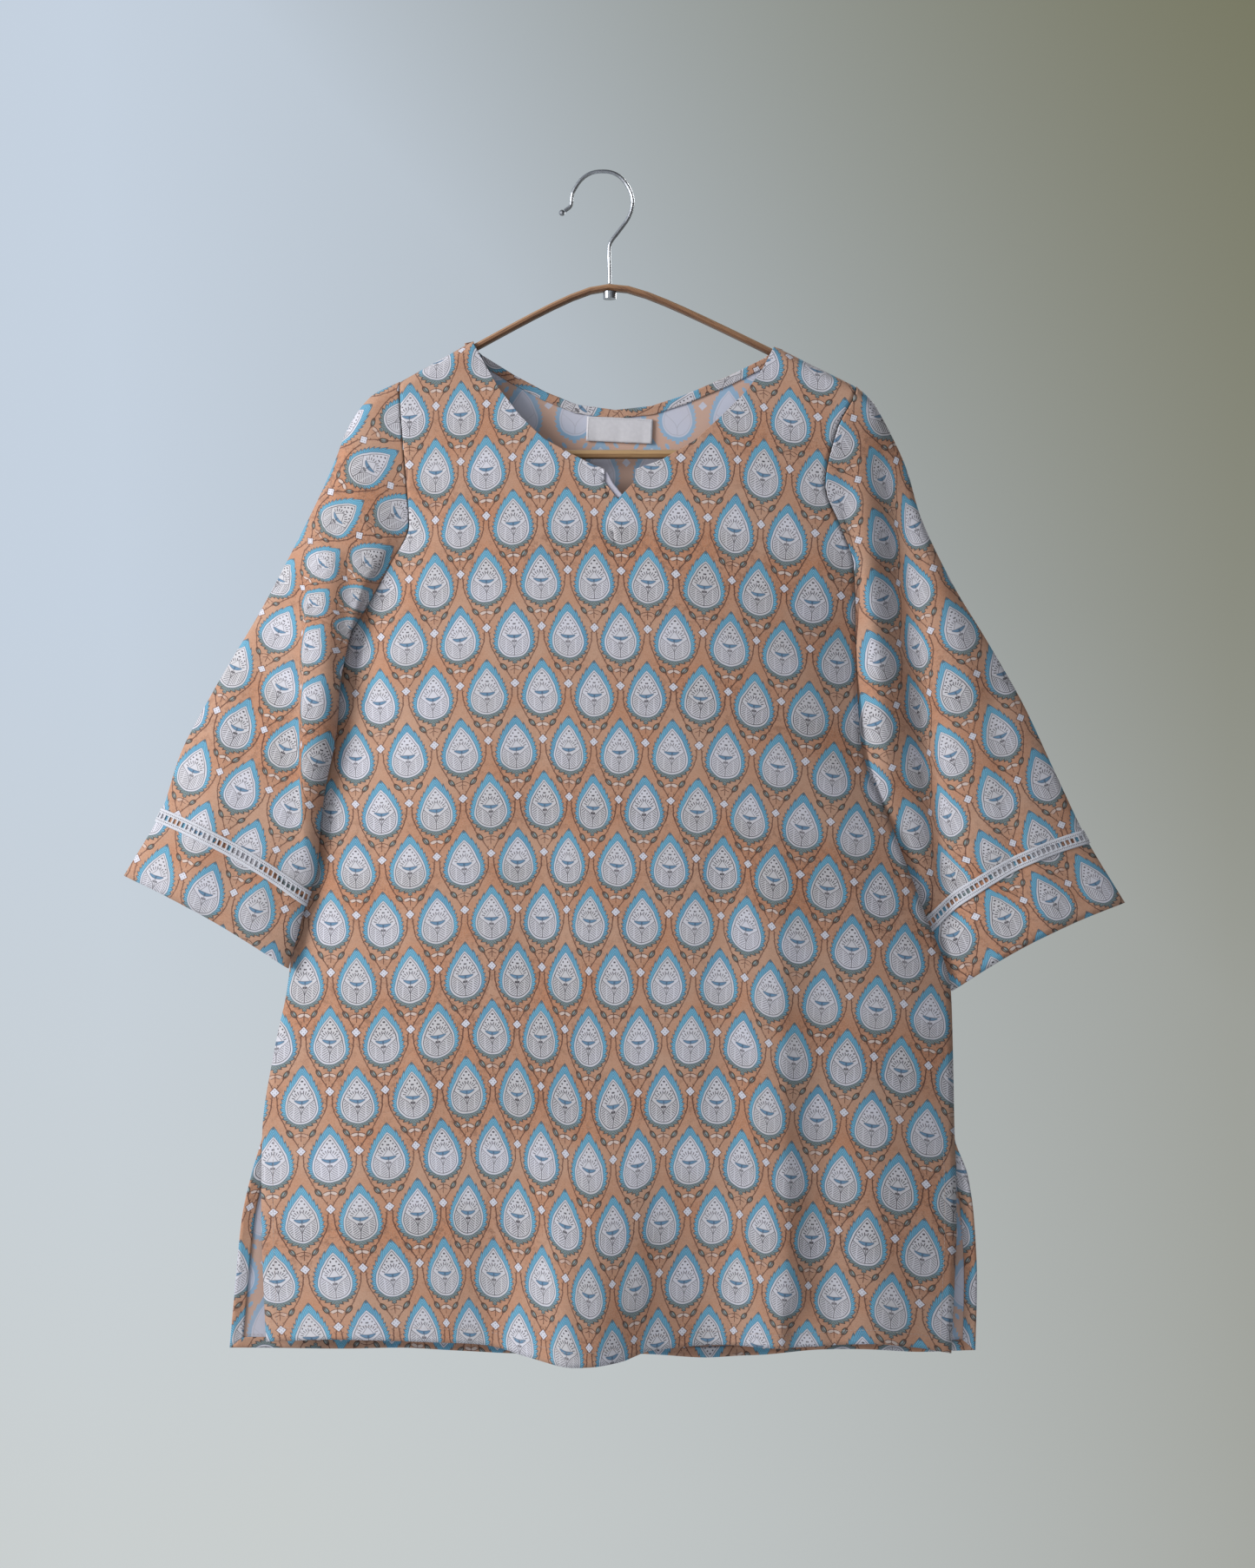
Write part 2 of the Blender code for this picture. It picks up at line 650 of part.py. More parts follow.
def through(points, steps):
    """A smooth route through a table's points, in the plane y = 0."""
    at = np.linspace(0, len(points) - 1, steps)
    k = np.clip(at.astype(int), 0, len(points) - 2)
    t = (at - k)[:, None]
    p = np.array(points) * MM
    p = np.concatenate([[2 * p[0] - p[1]], p, [2 * p[-1] - p[-2]]])
    a, b, c, d = p[k], p[k + 1], p[k + 2], p[k + 3]
    bend = (2 * a - 5 * b + 4 * c - d) * t**2 + (3 * b - a - 3 * c + d) * t**3
    flat = b + 0.5 * ((c - a) * t + bend)
    return np.stack([flat[:, 0], np.zeros(steps), flat[:, 1]], axis=1)


def make_hook():
    route = through(HOOK_ROUTE, HOOK_STEPS)
    poly_curve("hanger_hook", route, steel, radius=WIRE / 2)
    bm = bmesh.new()
    bmesh.ops.create_uvsphere(bm, u_segments=12, v_segments=8, radius=HOOK_BALL / 2)
    ball = mesh_object("hook_ball", bm, steel)
    run = route[0] - route[1]
    ball.location = route[0] + run / np.linalg.norm(run) * (HOOK_BALL / 2 + SEAM)
    ball.data.shade_smooth()
    bm = bmesh.new()
    bmesh.ops.create_cone(
        bm,
        cap_ends=True,
        segments=20,
        radius1=NUT_WIDTH / 2,
        radius2=NUT_WIDTH / 2,
        depth=NUT_HEIGHT,
    )
    nut = mesh_object("hanger_nut", bm, steel)
    nut_x = HOOK_ROUTE[-1].x * MM
    low = min(bar_z(nut_x - NUT_WIDTH / 2), bar_z(nut_x + NUT_WIDTH / 2))
    under = low - BAR_HEIGHT / 2 - 2 * SEAM
    nut.location = (nut_x, 0, under - NUT_HEIGHT / 2)
    nut.data.shade_smooth()


def make_hanger():
    along = np.linspace(-ARM_STRAIGHT, ARM_STRAIGHT, ARCH_STEPS)
    arch = [(APEX_X + u, 0.0, bar_z(APEX_X + u)) for u in along]
    ends = []
    for sign in (-1, 1):
        start = APEX_X + sign * ARM_STRAIGHT
        reach = sign * (ARM_END - ARM_STRAIGHT)
        top = bar_z(start)
        end = [(start + reach * p.share, 0.0, top - p.drop * MM) for p in ARM_TURN]
        ends.append(end + [(start + reach, 0.0, LEG_FOOT_Z)])
    route = ends[0][::-1] + arch + ends[1]
    profile = rounded_profile("strip_profile", BAR_DEPTH, BAR_HEIGHT)
    poly_curve("hanger_bar", route, bar_wood, profile=profile)
    reach = ARM_END - BAR_HEIGHT / 2 - SEAM
    dowel = [(APEX_X - reach, 0.0, DOWEL_Z), (APEX_X + reach, 0.0, DOWEL_Z)]
    poly_curve("hanger_crossbar", dowel, dowel_wood, radius=DOWEL / 2)


for old in list(bpy.data.objects):
    bpy.data.objects.remove(old)
parts = bpy.data.collections.new("kurta_tunic")
guides = bpy.data.collections.new("guides")
bpy.context.scene.collection.children.link(parts)
bpy.context.scene.collection.children.link(guides)

print_cloth = material("printed cotton", (0.53, 0.33, 0.24), 0.85)
print_inside = material("printed cotton, turned edge", (0.60, 0.36, 0.26), 0.85)
facing_cloth = material("facing cotton", (0.62, 0.60, 0.62), 0.85)
label_cloth = material("label satin", (0.66, 0.65, 0.66), 0.6)
lace = material("cotton lace", (0.75, 0.74, 0.76), 0.85)
bar_wood = material("brown wood", (0.28, 0.15, 0.07), 0.5)
dowel_wood = material("honey wood", (0.50, 0.32, 0.15), 0.5)
steel = material("brushed steel", (0.55, 0.55, 0.56), 0.3, 1.0)

front_grid, back_grid = make_panels()
make_back_trims(back_grid)
make_notch_facing()
panels = (front_grid, back_grid)
make_sleeve("sleeve_left", LEFT_SLEEVE, "left", LEFT_SLEEVE_FOLDS, *panels)
make_sleeve("sleeve_right", RIGHT_SLEEVE, "right", RIGHT_SLEEVE_FOLDS, *panels)
make_hook()
make_hanger()
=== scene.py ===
"""The looks of a block-printed kurta tunic on its hanger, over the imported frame.

The cloth repeats the form of the frame's solids at a finer grid, with the creases, seams,
print, lace and thread that they leave out. Tables are in millimetres, like the solids'
own; the rest is in metres. X to the viewer's right, Z up, the front faces -Y.
"""

import math
from collections import namedtuple

import bpy
import numpy as np
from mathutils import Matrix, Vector


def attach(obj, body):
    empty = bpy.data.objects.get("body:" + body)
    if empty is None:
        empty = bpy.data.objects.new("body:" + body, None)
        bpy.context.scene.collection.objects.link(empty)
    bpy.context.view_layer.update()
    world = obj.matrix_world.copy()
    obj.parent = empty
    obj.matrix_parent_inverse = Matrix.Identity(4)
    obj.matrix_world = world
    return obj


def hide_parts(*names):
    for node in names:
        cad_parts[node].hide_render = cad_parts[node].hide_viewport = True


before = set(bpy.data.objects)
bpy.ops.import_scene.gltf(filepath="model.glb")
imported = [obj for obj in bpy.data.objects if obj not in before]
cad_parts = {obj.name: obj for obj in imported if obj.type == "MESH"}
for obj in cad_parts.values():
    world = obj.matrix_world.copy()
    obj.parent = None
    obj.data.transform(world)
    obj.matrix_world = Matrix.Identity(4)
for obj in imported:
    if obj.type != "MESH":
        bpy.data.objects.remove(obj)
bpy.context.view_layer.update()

MM = 0.001

# Cloth
CLOTH = 0.8 * MM  # thickness of a shell, centred on the solid's own middle surface
LAYER = 1.3 * MM  # from one cloth's middle to that of a piece sewn on its inside
SEAM_OFFSET = 0.7 * MM  # from a panel's armhole edge to the sleeve's
SHOULDER_ROLL = 9 * MM  # how far below the shoulder the cloth turns from flat to hanging
SHOULDER_GAP = 0.4 * MM
BAR_COVER = 5.4 * MM
APEX_X = 6 * MM
APEX_Z = -92.5 * MM
ARM_SLOPE = 0.535
APEX_RADIUS = 28 * MM
ARM_LEAN = 0.034
LENS_POWER = 2.4
LENS_ROUND = 0.6

# The fine grid
SHOULDER_COLUMNS = 18
COLUMN_STEP = 3.4 * MM
ROLL_DROPS = (0, 2.5, 7, 14)  # as in the solids
ARMHOLE_ROWS = 10
FINE_ROLL = (0, 0.8, 2, 3.6, 5.6, 8, 11, 14)
PANEL_ROWS = (50, 92, 42)
SLEEVE_COLUMNS = 48
SLEEVE_ROWS = 110
GUIDE_STEPS = 140
GUIDE_STEP = 4
GUIDE_Z = -196
RASTER = 2
RASTER_X = (-330, 331)
RASTER_Z = (-985, -70)
RASTER_EDGE = 1.001  # keeps a read inside the last two points

# How the print lies on the panels
PRINT_CENTRE_X = 17 * MM
PRINT_CENTRE_Z = -282.5 * MM
# How far the print's places are moved at x stops, by height: along its rows and down.
# The cloth's finest folds, which the form leaves out, take up the difference.
SHIFT_STOPS = (-288, -240, -192, -144, -96, -48, 0, 48, 96, 144, 192, 240, 288)
SHIFT_START = (2.7, 6.0)
ShiftRow = namedtuple("ShiftRow", "z shifts")
ALONG_SHIFTS = [
    ShiftRow(-230, (2.5, 2, 0, -2, 0.5, 1, -1, -4, -8.5, -8, -9.5, -13, -15.5)),
    ShiftRow(-330, (2, 2, 1.5, -1.5, 0, -1, -0.5, -1, -3.5, -3, -7.5, -10, -11.5)),
    ShiftRow(-430, (2, 1.5, 2, 0, -1, -2, -0.5, 1, 0, -0.5, -5.5, -6, -7)),
    ShiftRow(-520, (3, 1, 0.5, -3, -4, -4.5, 1, 3, 3.5, 4.5, 1, -1.5, -3.5)),
    ShiftRow(-610, (4.5, 0, -1.5, -4, -5, -2.5, 4, 4.5, 6, 8.5, 6.5, 3.5, -0.5)),
    ShiftRow(-710, (7, 1, -2.5, -4.5, -6, -1, 5, 8, 9.5, 11.5, 10.5, 7.5, 1.5)),
    ShiftRow(-800, (9.5, 2, -5.5, -9.5, -7.5, -2, 4.5, 9, 9.5, 14, 13.5, 9, 2)),
    ShiftRow(-950, (11, 1.5, -5, -7.5, 0.5, -1, 6.5, 12, 13, 17, 16, 11.5, 2)),
]
DOWN_SHIFTS = [
    ShiftRow(-230, (4, 6.5, 7, 4.5, 2.5, -2, -2, 0.5, 0.5, 7.5, 16.5, 25, 33.5)),
    ShiftRow(-330, (1.5, 4.5, 6.5, 5, 0, -1.5, -1, 1.5, 6, 13, 17.5, 25.5, 33)),
    ShiftRow(-430, (0, 2, 4.5, 2, -3, -4.5, -1.5, -1, 2.5, 10.5, 18, 25.5, 32.5)),
    ShiftRow(-520, (-0.5, -1, 1.5, -1.5, -5.5, -7.5, -4.5, -3, 0, 8, 17, 25.5, 32)),
    ShiftRow(-610, (0.5, -3, -2.5, -5, -9.5, -10, -7.5, -6, -4.5, 7, 15.5, 24, 31.5)),
    ShiftRow(-710, (3.5, 0, -1.5, -6.5, -12, -8.5, -2.5, -4.5, -4, 7.5, 15, 22.5, 32)),
    ShiftRow(-800, (7.5, 3, -1, -6.5, -10, -5, 5, -2, -1.5, 9, 16.5, 24, 35.5)),
    ShiftRow(-950, (12, 5.5, -0.5, -5, -2.5, 1, 11, 3, 2.5, 10, 18, 29.5, 41)),
]
BACK_SHIFT = 0.35  # the back's share of them

# The print's direction down each sleeve: distance and its tilt in degrees
LEFT_TURNS = [(0, 60), (60, 56), (120, 42), (180, 28), (240, 23), (420, 18)]
RIGHT_TURNS = [(0, -30), (140, -22), (420, -20)]
# Cloth that folds hide: the fold's line, how much it takes, over what width, and where
# it opens and closes below its top. The left one is a pleat, the right one a valley.
Take = namedtuple("Take", "line amount width fade")
LEFT_TAKE = Take(
    [(-236, -318), (-240, -400), (-241, -470), (-240, -545)], 15, 3.4, (12, 60, 170, 227)
)
RIGHT_TAKE = Take(
    [(228, -205), (250, -350), (266, -470), (286, -600)], 16, 24, (5, 50, 340, 395)
)

# The body at each height: side edges of both panels, and how far they stand off y = 0
BodyRow = namedtuple(
    "BodyRow", "z left right back_left back_right edge back_edge front back"
)
BODY = [
    BodyRow(-90, -163, 206, -163, 206, 9.0, 9.0, 9.5, 9.5),
    BodyRow(-173, -163, 206, -163, 206, 9.5, 9.5, 12, 11),
    BodyRow(-209, -161, 190, -162, 201, 12.0, 10.5, 17, 12.5),
    BodyRow(-255, -157, 180, -163, 198, 13.0, 10.5, 22, 14),
    BodyRow(-287, -155, 192, -167, 200, 12.5, 10.0, 25, 15),
    BodyRow(-318, -170, 203, -178, 204, 10.5, 8.5, 27, 15.5),
    BodyRow(-350, -188, 205, -194, 205, 7.0, 5.5, 29, 16),
    BodyRow(-385, -208.5, 206, -208.5, 206, 0.75, 0.75, 30.5, 16.5),
    BodyRow(-459, -222.5, 210, -222.5, 210, 0.75, 0.75, 33, 17.5),
    BodyRow(-537, -238, 238, -238, 238, 0.75, 0.75, 35, 18),
    BodyRow(-600, -248, 262, -248, 262, 0.75, 0.75, 36, 18.5),
    BodyRow(-664, -255.5, 283.5, -255.5, 283.5, 0.75, 0.75, 36.5, 19),
    BodyRow(-706, -264.5, 285, -264.5, 285, 0.75, 0.75, 37, 19),
    BodyRow(-780, -275.5, 286.5, -275.5, 286.5, 0.75, 0.75, 37.5, 19),
    BodyRow(-815, -276, 287.5, -285.5, 298, 3.0, 1.5, 38, 19.5),
    BodyRow(-850, -275.5, 287.5, -293, 303, 5.5, 1.5, 38.5, 20),
    BodyRow(-900, -273.5, 285.5, -298, 305.5, 7.5, 2.0, 39, 20),
    BodyRow(-970, -270, 282, -304.5, 304, 9.0, 3.0, 40, 20),
]
UNDERARM_Z = -385
VENT_TOP_Z = -780
# Edges of the cloth from left to right: hems, then necklines between the neck points
Edge = namedtuple("Edge", "x z")
FRONT_HEM = Edge(
    x=(-270, -195, -115, -60, -18, 14, 40, 90, 150, 210, 250, 282),
    z=(-947, -940, -941, -948, -953.5, -952, -945.5, -944.5, -945, -943.5, -949, -956.5),
)
BACK_HEM = Edge(
    x=(-304, -160, -40, 40, 80, 120, 180, 250, 304),
    z=(-955, -961, -963, -967, -968, -964.5, -960, -960.5, -957),
)
FRONT_NECK = Edge(
    x=(
        -104, -103.2, -95, -83, -65.5, -47, -25, -5.5, 2.3, 2.3, 13.3, 27, 27.5, 49, 75, 97, 118,
        130, 139.2, 140,
    ),
    z=(
        -138, -140.5, -155, -176, -199, -217.5, -230, -240, -242.5, -253, -267.5, -252.5, -243,
        -235, -219.5, -199, -177.5, -160.5, -143, -140,
    ),
)
BACK_NECK = Edge(
    x=(-104, -103.2, -97.5, -71, -45.5, -20, 11, 40.5, 66.5, 101, 132, 139.2, 140),
    z=(
        -138, -140.5, -145.5, -161.8, -175.3, -185.5, -189.7, -186.5, -178, -163.5, -148, -143,
        -140,
    ),
)
# The facing's turned edge in the notch: its left edge and its width
FacingPoint = namedtuple("FacingPoint", "x z width")
NOTCH_FACING = [
    FacingPoint(3, -245, 1.4),
    FacingPoint(3, -254, 6.2),
    FacingPoint(12.5, -266, 6.2),
]
# Soft folds: a ridge (height > 0, towards the outside) or trough along a line,
# with its own width on each side, growing from the first point to the second
Fold = namedtuple("Fold", "x1 z1 x2 z2 left right start end")
FRONT_FOLDS = [
    Fold(-2, -760, -19, -962, 48, 42, 0, 27),
    Fold(84, -800, 96, -960, 38, 40, 0, -13),
    Fold(-72, -800, -80, -960, 26, 30, 0, -9),
    Fold(143, -520, 145, -905, 42, 16, 0, 7),
    Fold(176, -560, 182, -905, 18, 34, 0, -5),
    Fold(-66, -800, -62, -958, 16, 14, 0, 4),
    Fold(212, -700, 222, -958, 26, 26, 0, 7),
    Fold(-196, -640, -205, -958, 36, 30, 0, 6),
    Fold(-132, -290, -178, -420, 14, 20, 4, 3),
    Fold(144, -565, 146, -950, 30, 6, 0.5, 3.2),
    Fold(9, -330, 18, -940, 2.6, 3.2, 0.35, 0.5),
    Fold(29, -790, 30, -905, 8, 8, 0.4, 1.8),
    Fold(-47, -752, -32, -912, 9, 10, 0.4, 2.0),
    Fold(152, -800, 156, -900, 6, 7, 0.3, 1.5),
    Fold(-4, -840, -14, -955, 10, 8, 0.2, -1.8),
    Fold(-160, -266, -190, -330, 7, 7, 0.3, 2.6),
    Fold(-150, -298, -180, -350, 5, 6, 0.2, -2.4),
    Fold(-138, -322, -172, -374, 8, 7, 0.3, 2.4),
    Fold(-176, -384, -120, -520, 14, 20, 1.8, 1.2),
    Fold(-206, -470, -158, -690, 20, 22, -1.8, -2.0),
    Fold(-150, -560, -140, -760, 16, 14, 0.3, 1.8),
    Fold(186, -246, 198, -300, 6, 6, 1.2, -2.2),
    Fold(166, -296, 197, -350, 7, 6, 0.4, 2.4),
    Fold(174, -334, 202, -388, 5, 6, 0.3, -2.2),
    Fold(150, -390, 196, -520, 16, 18, 0.5, 2.0),
    Fold(60, -330, 108, -470, 26, 26, 1.4, -1.0),
    Fold(-62, -420, -44, -640, 26, 22, -1.4, -1.8),
    Fold(96, -560, 100, -760, 18, 20, -1.6, -1.8),
    Fold(222, -480, 258, -660, 10, 14, 2.0, 1.4),
    Fold(-104, -136, -128, -180, 8, 8, 1.2, 0.4),
    Fold(150, -140, 166, -200, 8, 10, 1.2, 0.5),
]
BACK_FOLDS = [
    Fold(-150, -520, -165, -960, 40, 32, 0, 9),
    Fold(-62, -640, -70, -960, 34, 30, 0, -7),
    Fold(30, -560, 38, -960, 44, 36, 0, 8),
    Fold(132, -620, 140, -960, 30, 36, 0, -7),
    Fold(205, -600, 222, -960, 34, 28, 0, 6),
]
LEFT_SLEEVE_FOLDS = [
    Fold(-222, -320, -227, -545, 15, 17, 6, 7),
    Fold(-237, -325, -240, -540, 2, 7, 1.6, 1.6),
    Fold(-198, -300, -206, -400, 9, 9, -3, -6),
    Fold(-290, -420, -330, -575, 16, 20, 0, 4),
    Fold(-186, -236, -216, -300, 8, 8, 2.4, -2.6),
    Fold(-206, -262, -196, -332, 6, 7, -2.0, 3.0),
    Fold(-222, -250, -250, -330, 9, 8, 1.5, 2.5),
    Fold(-262, -360, -292, -470, 12, 14, -1.5, -2.5),
    Fold(-256, -520, -262, -600, 9, 10, 1.0, -2.4),
]
RIGHT_SLEEVE_FOLDS = [
    Fold(208, -225, 231, -575, 12, 14, 9, 10),
    Fold(228, -205, 286, -600, 16, 14, -14, -13),
    Fold(300, -400, 356, -600, 18, 20, 0, 4),
    Fold(256, -236, 300, -420, 10, 14, 2.5, 3.0),
    Fold(246, -250, 262, -330, 6, 8, -2.0, -1.5),
    Fold(318, -430, 336, -560, 10, 12, -1.5, -3.0),
    Fold(214, -420, 226, -500, 5, 6, -1.2, -1.8),
]

# Sleeve sections from armhole to cuff: outer and inner fold, how far each stands off
# y = 0, how deep the cloth bellies to front and back, the armhole's share in it, and how
# far the middle of the section lies up the sleeve
SleeveRow = namedtuple(
    "SleeveRow",
    "outer_x outer_z inner_x inner_z outer_y inner_y front back armhole bow",
)
LEFT_SLEEVE = [
    SleeveRow(-163.5, -173, -209, -385, 0, 0, 13, 11, 1.0, 0),
    SleeveRow(-186, -184, -211, -388, 0, -3, 14, 12, 0.92, 0),
    SleeveRow(-206, -210, -212, -403, 0, -8, 15, 12, 0.66, 0),
    SleeveRow(-215.5, -233, -212, -423, 0, -11, 15, 10, 0.4, 0),
    SleeveRow(-228, -261, -213, -444, 0, -12.5, 15, 9, 0.2, 0),
    SleeveRow(-246, -297, -216, -466, 0, -13, 15, 10, 0.07, 0),
    SleeveRow(-277.5, -356.5, -222, -494, 0, -13, 14, 10, 0, 1),
    SleeveRow(-313, -416.5, -227, -529.5, 0, -13, 13, 10, 0, 2),
    SleeveRow(-342.5, -473, -229.5, -565, 0, -13, 13, 10, 0, 4),
    SleeveRow(-355.5, -513.5, -234.5, -580.5, 0, -13, 13, 10, 0, 5.5),
    SleeveRow(-363, -529, -240, -597, 0, -13, 13, 10, 0, 6),
    SleeveRow(-388, -570.5, -253, -645, 0, -11, 13, 11, 0, 5),
]
RIGHT_SLEEVE = [
    SleeveRow(206.5, -173, 206.5, -385, 0, 0, 13, 11, 1.0, 0),
    SleeveRow(219, -184, 208, -388, 2, 2.5, 14, 12, 0.92, 0),
    SleeveRow(234.5, -210, 205, -404, 4, 7, 15, 12, 0.66, 0),
    SleeveRow(248.5, -240, 204, -428, 6, 10, 16, 12, 0.4, 0),
    SleeveRow(259, -275, 206, -455, 8, 12.5, 16, 12, 0.2, 0),
    SleeveRow(286, -332, 211.5, -487, 9, 13, 16, 12, 0.07, 0),
    SleeveRow(315.5, -381, 220, -512, 9, 13, 15, 12, 0, 1),
    SleeveRow(344, -431, 232.5, -540, 9, 13, 14, 11, 0, 3),
    SleeveRow(368.5, -483.5, 245, -572, 9, 13, 13, 11, 0, 7),
    SleeveRow(391, -531.5, 258, -608, 9, 13, 13, 11, 0, 11),
    SleeveRow(399, -547, 266.5, -624, 9, 12, 13, 11, 0, 12),
    SleeveRow(427, -593, 286, -665, 9, 8, 13, 11, 0, 7),
]
LEFT_SLEEVE_BACK_FOLDS = [
    Fold(-215, -300, -262, -560, 16, 20, 0, 4),
    Fold(-250, -330, -320, -570, 16, 16, 2, -3),
]
RIGHT_SLEEVE_BACK_FOLDS = [
    Fold(226, -280, 300, -600, 16, 18, 2, 4),
    Fold(270, -330, 360, -590, 18, 16, 0, -3),
]
# All that makes one sleeve. Its guide starts at guide_x, and its print is moved down it.
Sleeve = namedtuple("Sleeve", "rows on_left folds back_folds guide_x turns take print_start")
LEFT = Sleeve(
    LEFT_SLEEVE, True, LEFT_SLEEVE_FOLDS, LEFT_SLEEVE_BACK_FOLDS, -196, LEFT_TURNS, LEFT_TAKE, 15
)
RIGHT = Sleeve(
    RIGHT_SLEEVE, False, RIGHT_SLEEVE_FOLDS, RIGHT_SLEEVE_BACK_FOLDS, 226, RIGHT_TURNS,
    RIGHT_TAKE, 0,
)

# The lace band
LACE = 0.7 * MM
LACE_LIFT = 1.3 * MM
LACE_PITCH = 4.36 * MM
LACE_BAR = 1.4 * MM
LACE_STATION = 9
LACE_ROWS = (0.11, 0.16, 0.26, 0.35, 0.65, 0.74, 0.84, 0.89)

# The studio
CAMERA_X = 0.021
CAMERA_Z = -0.496
CAMERA_DISTANCE = 1.75
VIEW_HEIGHT = 1.275
FLOOR_Z = -1.62
FLOOR_SIZE = 2.2
FLOOR_COLOUR = (0.62, 0.66, 0.7)
# The wall's colours are painted light and shade: lit on the left, shaded on the right and
# darkest in its top right corner
WALL_LIT_LEFT = (0.56, 0.64, 0.74)
WALL_SHADED_RIGHT = (0.31, 0.32, 0.29)
WALL_SHADED_CORNER = (0.17, 0.17, 0.10)
WALL_LOW = (0.60, 0.62, 0.59)
ROOM_LEFT = (0.42, 0.45, 0.50)
ROOM_RIGHT = (0.11, 0.11, 0.11)
# Where the wall's and the room's colours change: (limit, softness) of a direction's parts
WALL_TURN = (0.02, 0.5)
LOW_RISE = (-0.12, 0.4)
LOW_SIDE = (0.15, 0.6)
LOW_SHARE = 0.75
CORNER_RISE = (0.42, 0.5)
CORNER_SIDE = (0.42, 0.25)
ROOM_TURN = (0.0, 1.2)
ROOM_START = (0.2, 0.6)
LAMP_AIM = (0.0, 0.0, -0.5)
Lamp = namedtuple("Lamp", "name place size power tint")
LAMPS = [
    Lamp("key", (-1.75, -1.2, 0.25), 1.2, 47, (1.0, 0.99, 0.98)),
    Lamp("fill", (0.1, -2.7, -0.3), 1.8, 11, (0.97, 0.98, 1.0)),
    Lamp("back", (1.2, 2.4, 0.8), 1.4, 60, (1.0, 1.0, 1.0)),
]

# Unevenness of the print, the cloth and the hanger. Masks that are cut from it at a limit
# are given as (limit, softness).
Noise = namedtuple("Noise", "scale detail roughness", defaults=(2.0, 0.5))
CUTTER = Noise(90, 1.0)
CLOUD = Noise(22)
GRAIN = Noise(900, 3, 0.7)
BAND = Noise(9, 2, 0.6)
SMUDGES = Noise(190, 4, 0.7)
BAND_STRETCH = (0.35, 1.6, 1.0)
SLUB = Noise(500, 2, 0.6)
WOOD_GRAIN = Noise(22, 6, 0.65)
WOOD_PORES = Noise(60, 3)
WOOD_STAIN = Noise(12, 3)
SCRATCHES = Noise(900, 4, 0.7)
DULL_SPOTS = Noise(120, 2)
LINING_SHADE = Noise(260, 3)
SATIN_SHADE = Noise(300, 3)
THREAD_TWIST = Noise(2500, 2)
HEAVY_BAND = (0.54, 0.16)
SMUDGED = (0.54, 0.1)
DEEP_DYE = (0.92, 0.4)
PALE_DYE = (0.62, 0.4)
THICK_PASTE = (0.6, 0.25)
DEEP_BLUE = (0.42, 0.3)
WORN_INK = (0.6, 0.4)
FADED = (0.55, 0.5)
WRONG_PALE = (0.5, 0.3)
PETAL_FILLED = (0.45, 0.1)
# How strongly each of them shows
INK_LEFT = (0.5, 0.5)
HEAVY_INK = 0.3
SMUDGE_RANGE = (0.8, 0.2)
SMUDGE_SHARE = 0.6
BAND_DYE = 0.8
PALE_SHARE = 0.35
PASTE_NOISE = 0.6
PASTE_SHARE = 0.7
BLUE_SHARE = 0.5
HEART_SHARE = 0.6
FADE_SHARE = 0.12
WRONG_LINE_SHARE = 0.22
WRONG_PALE_SHARE = 0.2
STROKE_SHARE = 0.85
RIM_RANGE = (0.25, 0.7)
SOFT_INK = 0.8

# The block print, in units of its own cutting. A drop stands in each place of a lattice
# whose rows are staggered by half a pitch; heights are from the middle of its flower.
UNIT = 0.698 * MM
PITCH = 61.6
ROW = 66.6
DROP_REACH = 23.5
TIP_REACH = 37.0
FOOT_REACH = 32.0
EDGE_SOFTNESS = 0.8
WOBBLE = 1.2
HAIRLINE = 0.8
PEN_LINE = 0.9
RIM_LINE = 1.2
VINE_LINE = 1.3
# A drop's white middle and its border: teardrop curves from foot to tip
Drop = namedtuple("Drop", "width foot tip power spur")
WHITE_DROP = Drop(18.2, -25.5, 28.5, 0.9, 0)
BORDER_DROP = Drop(23.2, -30.6, 39, 0.85, 4.4)
DROP_STEPS = 600
OUTLINE_STOPS = 27
WHITE_RANGE = (15, 30)
BORDER_RANGE = (20, 42)
BORDER_GROWTH = 0.9
BORDER_SHADE = (-17, 12)
TOOTH = 0.21
TOOTH_SLANT = 0.035
TOOTH_HEIGHT = 26
BORDER_IN = 0.2
VINE_CLEAR = 0.3
STROKE_CLEAR = 1.2
WHITE_RIM = 0.3
STROKE = (TOOTH * 0.075, TOOTH * 0.06)
DOT_LINE = (0.6, 0.8)
DOT_SPACING = 4.3
DOT_FILES = [(3.9, 6.0), (8.3, 8.1)]  # distance in from the edge, and first place along it
DOT_EDGE = (0.85, 1.2)
DOT_CLEAR = 12.4
DOT_FOOT = 1
DOT_INSET = 3.4
# How far a flower's lower line stands off the drop's axis, by its depth
LOBE = [(-0.5, 18), (0, 16), (4, 12), (8.5, 6), (13, 2), (18, 0), (30, 0)]
LOBE_DEPTH = 3
LOBE_WIDTH = (0, 20)
LOBE_TOP = 3.2
RING_INSET = 2.3
RING_INSIDE = 2.4
HATCH = (0.57, 0.82)
HATCH_SPACING = 2.2
HATCH_WIDTH = 0.32
HATCH_GAP_X = 9
HATCH_GAP = 0.6
HATCH_CLEAR = 1.2
HATCH_INSET = 3.6
HATCH_TOP = 2
RAY_RING = (8.0, 11.5)
RAY_SPACING = 0.27
RAY_EDGE = (0.045, 0.04)
FLOWER_FOOT = 1.5
TENT_SLOPE = 1.35
TENT_TOP = 9.6
STALK = (-24, -3)
BUD_PLACE = (1.5, -7)
BUD_EDGE = (2.2, 1.5)
# The boat below the flower: how its two edges bend, and their height on the axis
KEEL = (0.05, -3.2)
DECK = (0.012, 0.4)
BOAT_REACH = 8.6
KEEL_LINE = 1.0
KEEL_CLEAR = 0.4
FOOT_STEM = (-51, -33)
PETAL_TURN = (0.94, 0.34)
PETAL_PLACE = (16.7, -34.9)
PETAL_SIZE = (4.6, 1.9)
PETAL_EDGE = (1.0, 0.2)
PETAL_INK = 1.1
PETAL_INK_EDGE = (0.2, 0.15)
